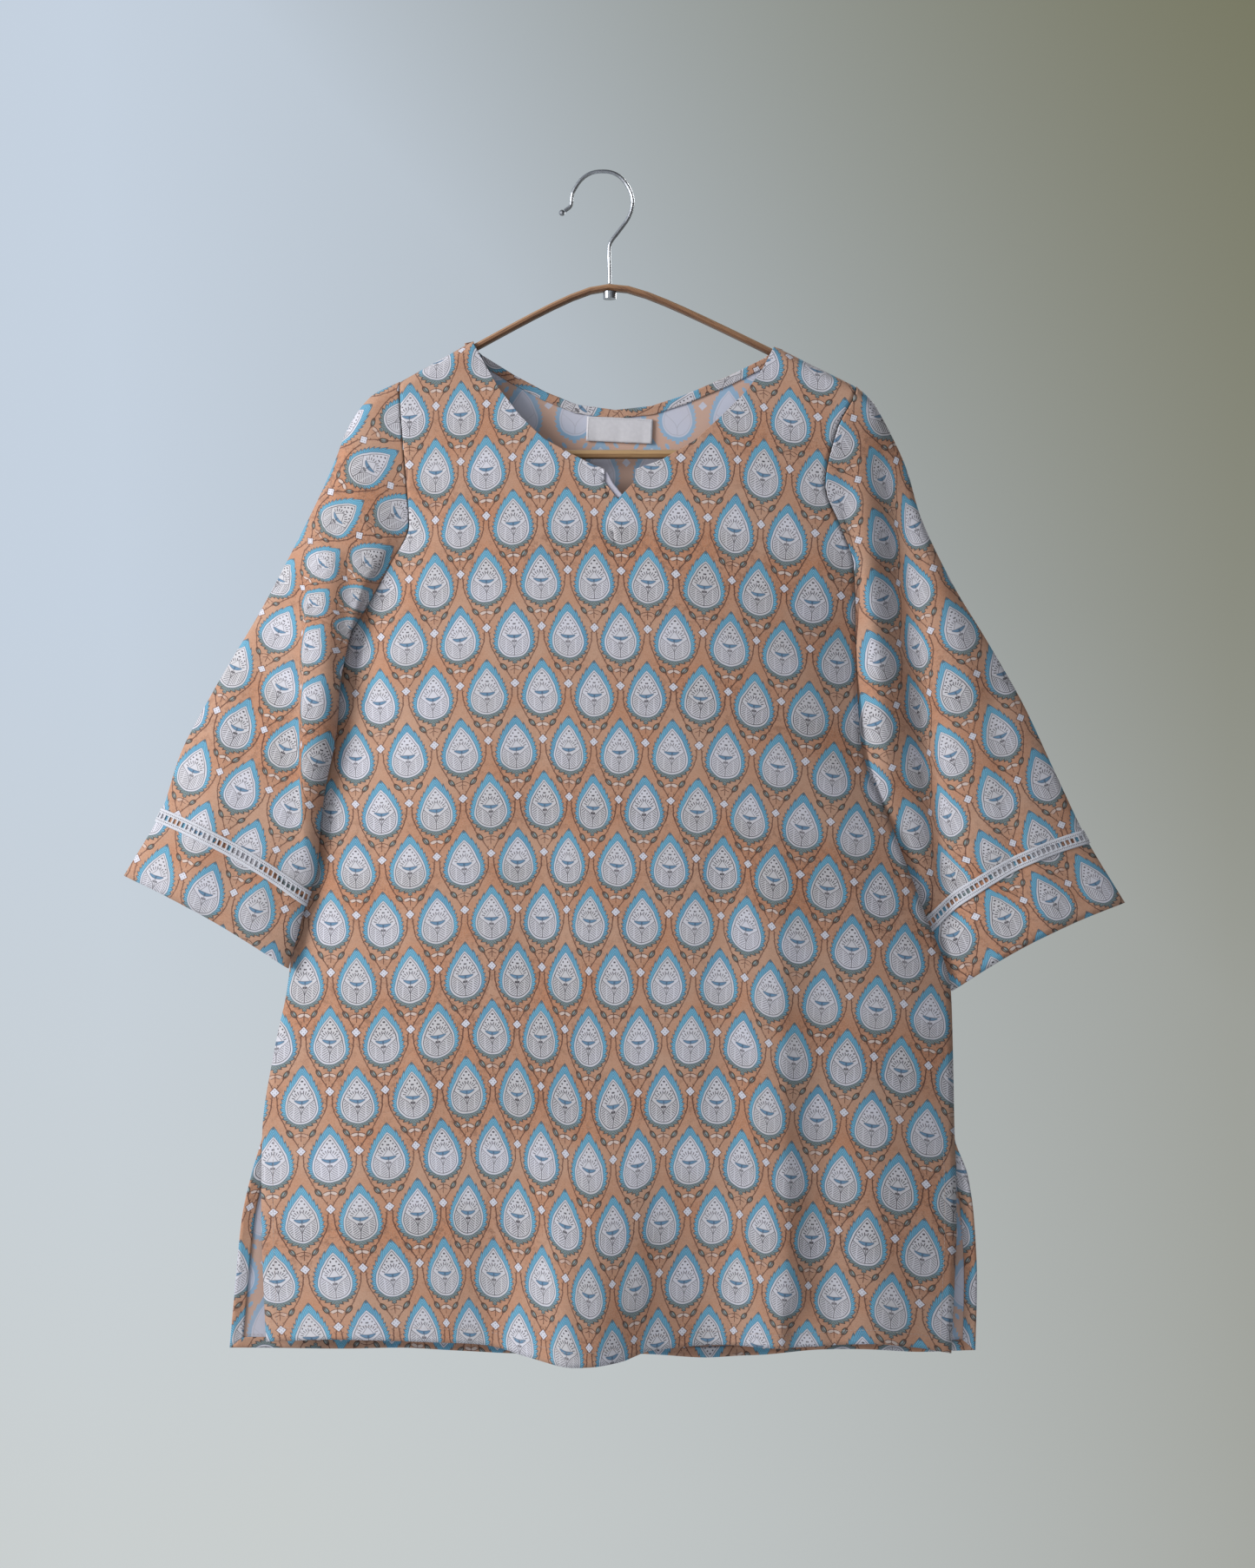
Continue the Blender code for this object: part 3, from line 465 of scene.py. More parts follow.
# The vine's distance from its axis, by its depth below a diamond
VINE = [
    (0, 1.5), (7, 3), (17, 3.6), (25, 6), (31, 9), (39, 13), (47, 18), (53, 22.5), (60, 27),
    (66.6, 30.8),
]
DIAMOND_DROP = 56.0
DIAMOND = 5.2
DIAMOND_LINE = 0.4
LEAF_PLACE = (18.5, 47.0)
LEAF_TURN = (0.64, 0.77)
LEAF_SIZE = (4.0, 2.1)
LEAF_EDGE = 0.16
LEAF_INK = 1.12
LEAF_INK_WIDTH = 0.24
LEAF_LIT = (0.4, 0.3)
SEED = 2.2
SEED_EDGE = (0.8, 1.0)
THORN_SPACING = 7.5
THORN_WIDTH = 0.45
THORN_LENGTH = 1.7
THORN_SLANT = 0.8
THORN_ROOT = 0.5
THREAD = 0.34 * MM
WEAVE_DEPTH = 0.12 * MM

# Colours, linear
GROUND = (0.46, 0.265, 0.175)
GROUND_DEEP = (0.44, 0.19, 0.095)
GROUND_PALE = (0.60, 0.44, 0.36)
GROUND_WRONG = (0.56, 0.37, 0.295)
WHITE = (0.62, 0.62, 0.69)
WHITE_DEEP = (0.51, 0.50, 0.50)
SMUDGE = (0.20, 0.085, 0.045)
WHITE_WRONG = (0.54, 0.57, 0.68)
BLUE = (0.13, 0.42, 0.60)
BLUE_DEEP = (0.08, 0.26, 0.44)
BLUE_WRONG = (0.27, 0.43, 0.60)
LEAF = (0.17, 0.22, 0.21)
PETAL = (0.58, 0.47, 0.42)
LEAF_LIGHT = (0.28, 0.38, 0.42)
BOAT = (0.11, 0.24, 0.38)
INK_BLUE = (0.035, 0.085, 0.15)
INK_GREY = (0.03, 0.03, 0.045)
INK_DARK = (0.045, 0.03, 0.025)
INK_BROWN = (0.10, 0.035, 0.022)
STEEL = (0.40, 0.42, 0.45)
STEEL_DULL = (0.24, 0.25, 0.27)
FACING = (0.56, 0.54, 0.62)
FACING_DEEP = (0.40, 0.42, 0.54)
SATIN = (0.62, 0.61, 0.64)
SATIN_DEEP = (0.52, 0.51, 0.54)
LACE_WHITE = (0.66, 0.67, 0.72)
LACE_SHADE = (0.48, 0.48, 0.54)
LACE_EYELET_SHADE = (0.12, 0.09, 0.09)
THREAD_LIGHT = (0.58, 0.50, 0.46)
THREAD_DEEP = (0.42, 0.34, 0.30)
LABEL_THREAD = (0.50, 0.49, 0.53)

# Wood, satin and lace
# A wood's light colour is painted light on its top faces; its pore colour serves for pores,
# stains and painted shade on its underside
WoodLook = namedtuple("WoodLook", "base dark pore light roughness")
BAR_WOOD = WoodLook(
    (0.30, 0.15, 0.07), (0.20, 0.09, 0.04), (0.08, 0.035, 0.018), (0.52, 0.32, 0.19), 0.5
)
DOWEL_WOOD = WoodLook(
    (0.44, 0.27, 0.12), (0.36, 0.20, 0.085), (0.22, 0.11, 0.05), (0.58, 0.40, 0.22), 0.45
)
GRAIN_STRETCH = 14.0
WOOD_DEPTH = 0.12 * MM
DARK_GRAIN = (0.5, 0.3)
OPEN_PORES = (0.6, 0.15)
PORE_SHARE = 0.6
STAINED = (0.55, 0.3)
STAIN_SHARE = 0.45
# Painted light on the wood's top faces and painted shade on its underside, by how far the
# surface faces up
LIT_TOP_FACE = (0.35, 0.5)
TOP_LIGHT_SHARE = 0.6
SHADED_UNDERSIDE = (-0.3, 0.6)
UNDER_SHADE_SHARE = 0.5
COTTON_ROUGHNESS = 0.85
WRONG_ROUGHNESS = 0.9
SATIN_ROUGHNESS = 0.42
THREAD_ROUGHNESS = 0.6
FLOOR_ROUGHNESS = 0.9
COTTON_GLOSS = 0.25
COTTON_SHEEN = 0.15
TRIM_SHEEN = 0.2
SLUB_RISE = 0.8
DULL_STEEL = (0.5, 0.4)
LINING_SHADED = (0.55, 0.25)
SATIN_SHADED = (0.5, 0.4)
SATIN_RIB_SHADOW = (0.7, 0.4)
TWIST_SHADED = (0.35, 0.3)
TWIST_SLANT = 1.3
SATIN_RIB = 0.3 * MM
SATIN_DEPTH = 0.08 * MM
LACE_TWIST = 0.9 * MM
EYELET = 0.36 * MM
EYELET_SPACING = 1.6 * MM
EYELET_PLACE = 4.1 * MM
LACE_CORD = 2.8 * MM
LACE_CORD_WIDTH = 0.7 * MM
LACE_RELIEF = 0.35 * MM

# Trims, in millimetres. Distances are in from the edge that they follow.
BAND_STOPS = (0.3, 1.6, 3.4, 5.2, 6.8, 7.4)
BAND_BIAS = (0.012, 0.021)  # where on the flat cloth the bias band was cut, metres
BAND_STITCH = 6.5
TURNED_STOPS = (0.4, 2.5, 5, 7.5, 9)
TURNED_SIDE_SHARE = 10.5 / 9
VENT_STEPS = 60
HEM_STEPS = 150
LABEL_SIZE = (54 * MM, 20 * MM)
LABEL_CENTRE = (14.5 * MM, -206.5 * MM)
LABEL_TURN = -0.045
LABEL_LIFT = 2.2 * MM
LABEL_WAVE = 0.5 * MM
LABEL_WAVES = 9
LABEL_WALL = 0.5 * MM
LABEL_GRID = (37, 15)
FACING_LIFT = 1.7 * MM
FACING_GRID = (16, 6)

# Stitches: the length of one, the gap to the next and the thread's thickness
Seam = namedtuple("Seam", "length gap thread")
MACHINE = Seam(2.3 * MM, 0.9 * MM, 0.32 * MM)
FINE = Seam(1.6 * MM, 0.7 * MM, 0.26 * MM)
# A stitch's sections along its length: where, how thick and how far out, as shares
STITCH_PLACES = np.array((0, 0.25, 0.75, 1))
STITCH_SIZES = np.array((0.45, 1, 1, 0.45)) / 2
STITCH_RISES = np.array((-0.35, 0.25, 0.25, -0.35))
HEM_STITCH = 11 * MM
VENT_STITCH = 10 * MM
STITCH_LIFT = 0.5 * MM
LABEL_STITCH_LIFT = 0.1 * MM
Trim = namedtuple("Trim", "made nodes slot")


def smooth(stops, values, at):
    """A monotone cubic curve through the table's values, read at one or more places."""
    stops = np.asarray(stops, float)
    values = np.asarray(values, float)
    if stops[0] > stops[-1]:
        stops = stops[::-1]
        values = values[::-1]
    step = np.diff(stops)
    rise = np.diff(values) / step
    slope = np.zeros(len(values))
    same = rise[1:] * rise[:-1] > 0
    total = np.where(same, rise[1:] + rise[:-1], 1)
    slope[1:-1] = np.where(same, 2 * rise[1:] * rise[:-1] / total, 0)
    slope[0] = rise[0]
    slope[-1] = rise[-1]
    at = np.clip(np.asarray(at, float), stops[0], stops[-1])
    k = np.clip(np.searchsorted(stops, at, side="right") - 1, 0, len(step) - 1)
    t = (at - stops[k]) / step[k]
    return (
        values[k] * (1 + 2 * t) * (1 - t) ** 2
        + values[k + 1] * t * t * (3 - 2 * t)
        + step[k] * (slope[k] * t * (1 - t) ** 2 - slope[k + 1] * t * t * (1 - t))
    )


def body(column, z):
    """One column of the body table at a height, all in metres."""
    stops = [row.z * MM for row in BODY]
    values = [getattr(row, column) * MM for row in BODY]
    return smooth(stops, values, z)


def bar_z(x):
    """Centre line of the wooden strip."""
    off = x - APEX_X
    droop = ARM_SLOPE * (np.sqrt(off * off + APEX_RADIUS**2) - APEX_RADIUS)
    return APEX_Z - droop + ARM_LEAN * off


def shoulder_z(x):
    """The line of the cloth that lies on the strip."""
    return bar_z(x) + BAR_COVER


def fold_depth(folds, x, z):
    """How far the folds move the cloth outwards at a point of the panel's face."""
    total = np.zeros(np.broadcast(x, z).shape)
    for fold in folds:
        start = np.array((fold.x1, fold.z1)) * MM
        run = np.array((fold.x2, fold.z2)) * MM - start
        length = np.hypot(*run)
        along = ((x - start[0]) * run[0] + (z - start[1]) * run[1]) / length**2
        across = ((x - start[0]) * -run[1] + (z - start[1]) * run[0]) / length
        width = np.where(across < 0, fold.left, fold.right) * MM
        part = np.clip(along, 0, 1)
        beyond = np.maximum(np.maximum(-along, along - 1), 0) * length / width
        height = (fold.start + (fold.end - fold.start) * part) * MM
        total = total + height * np.exp(-((across / width) ** 2) - beyond**2)
    return total


def panel_y(x, z, share, side):
    """Depth of the front (side -1) or back (side +1) panel, share 0 to 1 across it."""
    edge = body("edge" if side < 0 else "back_edge", z)
    middle = body("front" if side < 0 else "back", z)
    belly = 1 - np.abs(2 * share - 1) ** 3
    drop = np.clip((shoulder_z(x) - z) / SHOULDER_ROLL, 0, 1)
    roll = np.sqrt(1 - (1 - drop) ** 2)
    folds = FRONT_FOLDS if side < 0 else BACK_FOLDS
    depth = roll * (edge + (middle - edge) * belly)
    depth = depth + belly * fold_depth(folds, x, z)
    return side * (SHOULDER_GAP + depth)


def side_names(side):
    return ("left", "right") if side < 0 else ("back_left", "back_right")


def shares(side, x, z):
    """How far across its panel a point lies, 0 at the left edge and 1 at the right."""
    left_name, right_name = side_names(side)
    left = body(left_name, z)
    return np.clip((x - left) / (body(right_name, z) - left), 0, 1)


def on_face(side, x, z, outwards=0.0):
    """Points of a panel's middle surface, moved out from it by a distance."""
    y = panel_y(x, z, shares(side, x, z), side) + side * outwards
    return np.stack([x, y, z], axis=-1)


def distance_along(line):
    """The distance from a line's start to each of its points."""
    steps = np.linalg.norm(np.diff(line, axis=0), axis=1)
    return np.concatenate([[0], np.cumsum(steps)])


def downward(line):
    """For each point of a left-to-right line, the direction square to it and down."""
    run = np.gradient(line, axis=0)
    run /= np.linalg.norm(run, axis=1, keepdims=True)
    return np.stack([run[:, 1], -run[:, 0]], axis=1)


def fine_line(points, step):
    """A polyline's points with others between them, none nearer in x than the step."""
    line = [points[0]]
    for start, end in zip(points, points[1:]):
        count = max(1, round(abs(end[0] - start[0]) / step))
        for k in range(1, count + 1):
            line.append(start + (end - start) * (k / count))
    return np.array(line)


def neck_line(neck, step=1.5 * MM):
    """The neckline's fine points between the two neck points."""
    points = np.array(neck).T * MM
    points[[0, -1], 1] = shoulder_z(points[[0, -1], 0])
    return fine_line(points, step)


def hem_height(hem, x):
    """Height of a hem at places across it, all in metres."""
    return smooth(np.array(hem.x) * MM, np.array(hem.z) * MM, x)


def top_line(neck):
    """Points along a panel's top, from its left shoulder end to its right one."""
    middle = neck_line(neck, COLUMN_STEP)
    run = np.linspace(BODY[0].left * MM, middle[0, 0], SHOULDER_COLUMNS)[:-1]
    start = np.stack([run, shoulder_z(run)], axis=1)
    run = np.linspace(middle[-1, 0], BODY[0].right * MM, SHOULDER_COLUMNS)[1:]
    end = np.stack([run, shoulder_z(run)], axis=1)
    return np.concatenate([start, middle, end])


def row_heights(z_top, hem_z):
    """Heights of a column's points: the roll, the armhole, the body, the vents."""
    roll = z_top - np.array(FINE_ROLL) * MM
    stops = [roll[-1], UNDERARM_Z * MM, VENT_TOP_Z * MM, hem_z]
    runs = [roll]
    for start, end, count in zip(stops, stops[1:], PANEL_ROWS):
        runs.append(np.linspace(start, end, count + 1)[1:])
    return np.concatenate(runs)


def panel_grid(side, neck, hem):
    """The middle surface of a panel, as rows of points from top to hem."""
    left_name, right_name = side_names(side)
    columns = []
    for x_top, z_top in top_line(neck):
        share = float(shares(side, x_top, z_top))
        hem_x = (hem.x[0] + (hem.x[-1] - hem.x[0]) * share) * MM
        z = row_heights(z_top, float(hem_height(hem, hem_x)))
        left = body(left_name, z)
        x = left + (body(right_name, z) - left) * share
        columns.append(np.stack([x, panel_y(x, z, share, side), z], axis=1))
    return np.stack(columns, axis=1)


def shifted(table, x, z):
    """A shift table read at places of the panel, in millimetres."""
    by_row = np.array([smooth(SHIFT_STOPS, row.shifts, x) for row in table])
    heights = [-row.z for row in table]
    at = np.interp(-z, heights, np.arange(len(heights)))
    low = np.minimum(at.astype(int), len(heights) - 2)
    part = at - low
    below = np.take_along_axis(by_row, low[None], axis=0)[0]
    above = np.take_along_axis(by_row, low[None] + 1, axis=0)[0]
    return below + (above - below) * part


def unrolled(side, x, z):
    """Flat-cut places on a raster of a panel, from the print's centre."""
    xs, zs = np.meshgrid(x, z)
    depth = panel_y(xs, zs, shares(side, xs, zs), side)
    step = RASTER * MM
    u = np.cumsum(np.hypot(1, np.gradient(depth, step, axis=1)), axis=1) * step
    v = np.cumsum(np.hypot(1, np.gradient(depth, step, axis=0)), axis=0) * step
    u -= u[:, np.searchsorted(x, PRINT_CENTRE_X)][:, None]
    v -= v[np.searchsorted(z, PRINT_CENTRE_Z)][None, :]
    return u, v


def raster_read(field, row, column):
    """A raster's values between its points, at rows and columns with a part."""
    i = row.astype(int)
    j = column.astype(int)
    s = column - j
    t = row - i
    low = field[i, j] * (1 - s) + field[i, j + 1] * s
    high = field[i + 1, j] * (1 - s) + field[i + 1, j + 1] * s
    return low * (1 - t) + high * t


def panel_uv(side, grid):
    """Flat-cut places on a panel, in metres: along the cloth's rows and down its length."""
    x = np.arange(*RASTER_X, RASTER) * MM
    z = np.arange(*RASTER_Z, RASTER) * MM
    u, v = unrolled(side, x, z)
    column = np.clip((grid[:, :, 0] - x[0]) / (RASTER * MM), 0, len(x) - RASTER_EDGE)
    row = np.clip((grid[:, :, 2] - z[0]) / (RASTER * MM), 0, len(z) - RASTER_EDGE)
    share = 1.0 if side < 0 else BACK_SHIFT
    at = (grid[:, :, 0] / MM, grid[:, :, 2] / MM)
    start_along, start_down = SHIFT_START
    along = start_along + share * shifted(ALONG_SHIFTS, *at)
    down = start_down + share * shifted(DOWN_SHIFTS, *at)
    flat_x = -side * raster_read(u, row, column) + along * MM
    return np.stack([flat_x, raster_read(v, row, column) + down * MM], axis=2)


def lens(across):
    """Belly of a flattened tube, 0 at its two folds."""
    return (1 - np.abs(2 * across - 1) ** LENS_POWER) ** LENS_ROUND


def armhole_edge(side, on_left, across):
    """The panel's armhole edge at shares of its rows, moved just outside it."""
    column = side_names(side)[0 if on_left else 1]
    top = shoulder_z((BODY[0].left if on_left else BODY[0].right) * MM)
    roll = top - np.array(ROLL_DROPS) * MM
    below = np.linspace(roll[-1], UNDERARM_Z * MM, ARMHOLE_ROWS + 1)[1:]
    heights = np.concatenate([roll, below])
    z = np.interp(across * (len(heights) - 1), np.arange(len(heights)), heights)
    x = body(column, z)
    y = panel_y(x, z, 0.0 if on_left else 1.0, side)
    run_x = np.gradient(x)
    run_z = np.gradient(z)
    shift = SEAM_OFFSET * (1 if on_left else -1) / np.hypot(run_x, run_z)
    edge = np.stack([x + shift * run_z, y, z - shift * run_x], axis=1)
    edge[[0, -1], 1] = 0
    return edge


def sleeve_section(rows, station, across):
    """A sleeve's row of sizes at a station, and its section's points before the belly."""
    index = np.arange(len(rows))
    row = SleeveRow(*(smooth(index, column, station) for column in zip(*rows)))
    outer = np.array((row.outer_x, row.outer_y, row.outer_z)) * MM
    inner = np.array((row.inner_x, row.inner_y, row.inner_z)) * MM
    points = outer + (inner - outer) * across[:, None]
    up = np.array((outer[2] - inner[2], 0, inner[0] - outer[0]))
    up *= np.sign(up[2]) / np.linalg.norm(up)
    points += up * (row.bow * MM * (1 - (2 * across - 1) ** 2))[:, None]
    return row, points


def sleeve_half(sleeve, back, stations):
    """One half of a sleeve's middle surface: a row of points for each station."""
    side = 1 if back else -1
    folds = sleeve.back_folds if back else sleeve.folds
    across = (1 - np.cos(np.linspace(0, math.pi, SLEEVE_COLUMNS + 1))) / 2
    seam = armhole_edge(side, sleeve.on_left, across)
    grid = []
    chord = None
    for station in np.concatenate([[0], stations]):
        row, points = sleeve_section(sleeve.rows, station, across)
        points[:, 1] += side * (row.back if back else row.front) * MM * lens(across)
        if chord is None:
            chord = points.copy()
        points += row.armhole * (seam - chord)
        depth = fold_depth(folds, points[:, 0], points[:, 2])
        points[:, 1] += side * (1 - row.armhole) * lens(across) * depth
        grid.append(points)
    return np.array(grid[1:])


def sleeve_ring(sleeve, stations):
    """A sleeve's two halves, and the closed ring of both."""
    front = sleeve_half(sleeve, False, stations)
    back = sleeve_half(sleeve, True, stations)
    return front, back, np.concatenate([front, back[:, -2:0:-1]], axis=1)


def on_route(route, x, z):
    """Distance along a guide route and to its right side, for points of a drawing."""
    best = np.full(x.shape, np.inf)
    along = np.zeros(x.shape)
    aside = np.zeros(x.shape)
    gone = 0.0
    for start, end in zip(route, route[1:]):
        run = end - start
        length = np.hypot(*run)
        run = run / length
        off_x = x - start[0]
        off_z = z - start[1]
        at = off_x * run[0] + off_z * run[1]
        near = np.clip(at, -np.inf if gone == 0 else 0, length)
        gap = np.hypot(off_x - near * run[0], off_z - near * run[1])
        closer = gap < best
        best = np.where(closer, gap, best)
        side = np.sign(off_x * -run[1] + off_z * run[0])
        along = np.where(closer, gone + near, along)
        aside = np.where(closer, side * gap, aside)
        gone += length
    return along, aside


def guide_route(start_x, turns):
    """A route that leaves its start and turns with the print's own direction."""
    at = np.array((start_x, GUIDE_Z)) * MM
    route = [at]
    stops, angles = zip(*turns)
    for k in range(GUIDE_STEPS):
        angle = math.radians(float(np.interp(k * GUIDE_STEP, stops, angles)))
        at = at - GUIDE_STEP * MM * np.array((math.sin(angle), math.cos(angle)))
        route.append(at)
    return np.array(route)


def taken(front, take):
    """How much cloth a fold hides, for points past its line."""
    x = front[:, :, 0]
    z = front[:, :, 2]
    line_x, line_z = (np.array(part) * MM for part in zip(*take.line))
    edge = np.interp(-z, -line_z, line_x)
    past = np.clip((x - edge) / (take.width * MM) + 0.5, 0, 1)
    below = (line_z[0] - z) / MM
    return past * np.interp(below, take.fade, (0, 1, 1, 0)) * take.amount * MM


def sleeve_uv(front, back, sleeve):
    """Flat-cut places on both halves of a sleeve. The back's go on past the outer fold
    and follow the route's mean direction."""
    route = guide_route(sleeve.guide_x, sleeve.turns)
    start = sleeve.print_start * MM
    along, aside = on_route(route, front[:, :, 0], front[:, :, 2])
    front_uv = np.stack([aside + taken(front, sleeve.take), start - along], axis=2)
    mean = route[0] + np.array((0, 1))[:, None] * (route[-1] - route[0])
    along, aside = on_route(mean, back[:, :, 0], back[:, :, 2])
    back_uv = np.stack([-aside, start - along], axis=2)
    return front_uv, back_uv + (front_uv - back_uv)[:, :1]


def outward(grid):
    """Unit normals at a grid's points."""
    run_rows = np.gradient(grid, axis=0)
    run_columns = np.gradient(grid, axis=1)
    normal = np.cross(run_columns, run_rows)
    length = np.linalg.norm(normal, axis=2, keepdims=True)
    return normal / np.maximum(length, 1e-12)


def piece(name, points, faces, corners_uv, finishes, smooth_faces=True):
    """A named mesh from points, faces and a place on the flat cloth for each corner."""
    mesh = bpy.data.meshes.new(name)
    mesh.from_pydata([tuple(p) for p in points], [], faces)
    if corners_uv is not None:
        layer = mesh.uv_layers.new(name="cut")
        layer.data.foreach_set("uv", np.asarray(corners_uv, float).ravel())
    for finish in finishes:
        mesh.materials.append(finish)
    if smooth_faces:
        mesh.shade_smooth()
    made = bpy.data.objects.new(name, mesh)
    bpy.context.scene.collection.objects.link(made)
    return made


def grid_faces(shape, uv, split, kept):
    """A grid's faces as point numbers, and the flat place of each of their corners."""
    rows, columns = shape
    closed = split is not None
    faces = []
    places = []
    for i in range(rows - 1):
        for j in range(columns if closed else columns - 1):
            if kept is not None and not kept(i, j):
                continue
            k = (j + 1) % columns
            a = j + 1 if closed and j >= split else j
            low = i * columns
            high = low + columns
            faces.append([low + j, high + j, high + k, low + k])
            places.append([uv[i, a], uv[i + 1, a], uv[i + 1, a + 1], uv[i, a + 1]])
    return np.array(faces), np.array(places)


def cloth_piece(name, grid, uv, finishes, thickness=CLOTH, flip=False, split=None, kept=None):
    """A shell on a grid's faces. With split the grid is a closed ring whose flat
    places have one column more than its points from that column on."""
    faces, places = grid_faces(grid.shape[:2], uv, split, kept)
    if flip:
        faces = faces[:, ::-1]
        places = places[:, ::-1]
    used, faces = np.unique(faces, return_inverse=True)
    faces = faces.reshape(-1, 4).tolist()
    made = piece(name, grid.reshape(-1, 3)[used], faces, places, finishes)
    thicken = made.modifiers.new("wall", "SOLIDIFY")
    thicken.thickness = thickness
    thicken.offset = 0
    thicken.use_rim = True
    thicken.material_offset = len(finishes) - 1
    return made


class Number:
    """A number that varies over a surface: a socket of a node tree, with arithmetic."""

    def __init__(self, tree, socket):
        self.tree = tree
        self.socket = socket

    def math(self, operation, *others, clamp=False):
        node = self.tree.nodes.new("ShaderNodeMath")
        node.operation = operation
        node.use_clamp = clamp
        for target, value in zip(node.inputs, (self, *others)):
            if isinstance(value, Number):
                self.tree.links.new(value.socket, target)
            else:
                target.default_value = value
        return Number(self.tree, node.outputs[0])

    def __add__(self, other):
        return self.math("ADD", other)

    def __sub__(self, other):
        return self.math("SUBTRACT", other)

    def __mul__(self, other):
        return self.math("MULTIPLY", other)

    def __or__(self, other):
        """The larger of two numbers, so for masks what either covers."""
        return self.math("MAXIMUM", other)

    def __and__(self, other):
        """The smaller of two numbers."""
        return self.math("MINIMUM", other)

    def scaled(self, factor, plus=0.0, clamp=False):
        return self.math("MULTIPLY_ADD", factor, plus, clamp=clamp)

    def absolute(self):
        return self.math("ABSOLUTE")

    def squared(self):
        return self.math("POWER", 2.0)

    def wave(self, spacing):
        """How far the number is from the nearest whole multiple of the spacing."""
        return self.math("PINGPONG", spacing / 2)

    def below(self, limit, soft=EDGE_SOFTNESS):
        """1 where the number is less than the limit and 0 where it is more."""
        if isinstance(limit, Number):
            return (limit - self).scaled(1 / soft, 0.5, clamp=True)
        return self.scaled(-1 / soft, limit / soft + 0.5, clamp=True)

    def above(self, limit, soft=EDGE_SOFTNESS):
        return self.scaled(1 / soft, 0.5 - limit / soft, clamp=True)

    def between(self, low, high):
        return self.above(low) * self.below(high)

    def line(self, width):
        """1 where the number is within half the width of 0."""
        return self.absolute().below(width / 2)

    def curve(self, table, x_range, y_range):
        """A table's curve, read at this number. Both ranges are (lowest, highest)."""
        low, high = x_range
        bottom, top = y_range
        node = self.tree.nodes.new("ShaderNodeFloatCurve")
        points = node.mapping.curves[0].points
        places = [((x - low) / (high - low), (y - bottom) / (top - bottom)) for x, y in table]
        for point, place in zip(points, (places[0], places[-1])):
            point.location = place
        for place in places[1:-1]:
            points.new(*place)
        for point in points:
            point.handle_type = "VECTOR"
        node.mapping.update()
        share = self.scaled(1 / (high - low), -low / (high - low))
        self.tree.links.new(share.socket, node.inputs["Value"])
        return Number(self.tree, node.outputs[0]).scaled(top - bottom, bottom)


def painted(under, mask, colour):
    """The colour over what is under it, where the mask is 1."""
    tree = mask.tree
    node = tree.nodes.new("ShaderNodeMix")
    node.data_type = "RGBA"
    tree.links.new(mask.socket, node.inputs[0])
    for target, value in ((node.inputs[6], under), (node.inputs[7], colour)):
        if isinstance(value, tuple):
            target.default_value = (*value, 1)
        else:
            tree.links.new(value, target)
    return node.outputs[2]


def layered(colour, *coats):
    """A colour with coats over it in turn, each given as (mask, colour)."""
    for mask, coat in coats:
        colour = painted(colour, mask, coat)
    return colour


def noise_node(tree, place, noise):
    node = tree.nodes.new("ShaderNodeTexNoise")
    node.inputs["Scale"].default_value = noise.scale
    node.inputs["Detail"].default_value = noise.detail
    node.inputs["Roughness"].default_value = noise.roughness
    tree.links.new(place, node.inputs["Vector"])
    return node


def uneven(tree, place, noise):
    """A noise's value over a surface, from 0 to 1."""
    return Number(tree, noise_node(tree, place, noise).outputs["Fac"])


def parts(tree, vector):
    """A vector's three numbers."""
    split = tree.nodes.new("ShaderNodeSeparateXYZ")
    tree.links.new(vector, split.inputs[0])
    return [Number(tree, socket) for socket in split.outputs]


def stretched(tree, place, scale):
    mapping = tree.nodes.new("ShaderNodeMapping")
    mapping.inputs["Scale"].default_value = scale
    tree.links.new(place, mapping.inputs["Vector"])
    return mapping.outputs[0]


def oval(x, y, width, height):
    """0 in an oval's middle, 1 on its edge and more outside."""
    return (x * (1 / width)).squared() + (y * (1 / height)).squared()


def block_units(tree, flat):
    """The flat cloth's two coordinates in the block's units, with a cutter's wobble."""
    split = tree.nodes.new("ShaderNodeSeparateColor")
    tree.links.new(noise_node(tree, flat, CUTTER).outputs["Color"], split.inputs[0])
    units = []
    for place, socket in zip(parts(tree, flat)[:2], split.outputs):
        off = Number(tree, socket).scaled(2 * WOBBLE, -WOBBLE)
        units.append(place.scaled(1 / UNIT) + off)
    return units


def lattice(across, up):
    """Where a point lies between two rows: the side distance from the nearest place of
    the lower row, and the height above it. Rows are staggered by half a pitch."""
    rows = up.scaled(1 / ROW)
    low = rows.math("FLOOR")
    height = (rows - low) * ROW
    shift = low.math("MODULO", 2.0).absolute() * (PITCH / 2)
    return (across - shift).math("PINGPONG", PITCH / 2), height


def nearest_drop(across, up):
    """Side distance and height from the middle of the nearest drop's flower."""
    side, height = lattice(across, up)
    other = side.scaled(-1, PITCH / 2)
    drop = height - ROW
    lower = oval(side, height, DROP_REACH, TIP_REACH)
    upper = oval(other, drop, DROP_REACH, FOOT_REACH)
    in_lower = lower.math("LESS_THAN", upper)
    return other + (side - other) * in_lower, drop + in_lower * ROW


def outline_radius(drop):
    """A teardrop curve's half outline as the radius at even turns, from its foot to its tip."""
    swing = np.linspace(0, math.pi, DROP_STEPS)
    profile = np.sin(swing) * np.cos(swing / 2) ** drop.power
    x = drop.width * profile / profile.max()
    y = (drop.tip + drop.foot) / 2 - (drop.tip - drop.foot) / 2 * np.cos(swing)
    turn = np.linspace(0, math.pi, OUTLINE_STOPS)
    radius = np.interp(turn, np.arctan2(x, -y), np.hypot(x, y))
    radius[0] += drop.spur
    return turn, radius


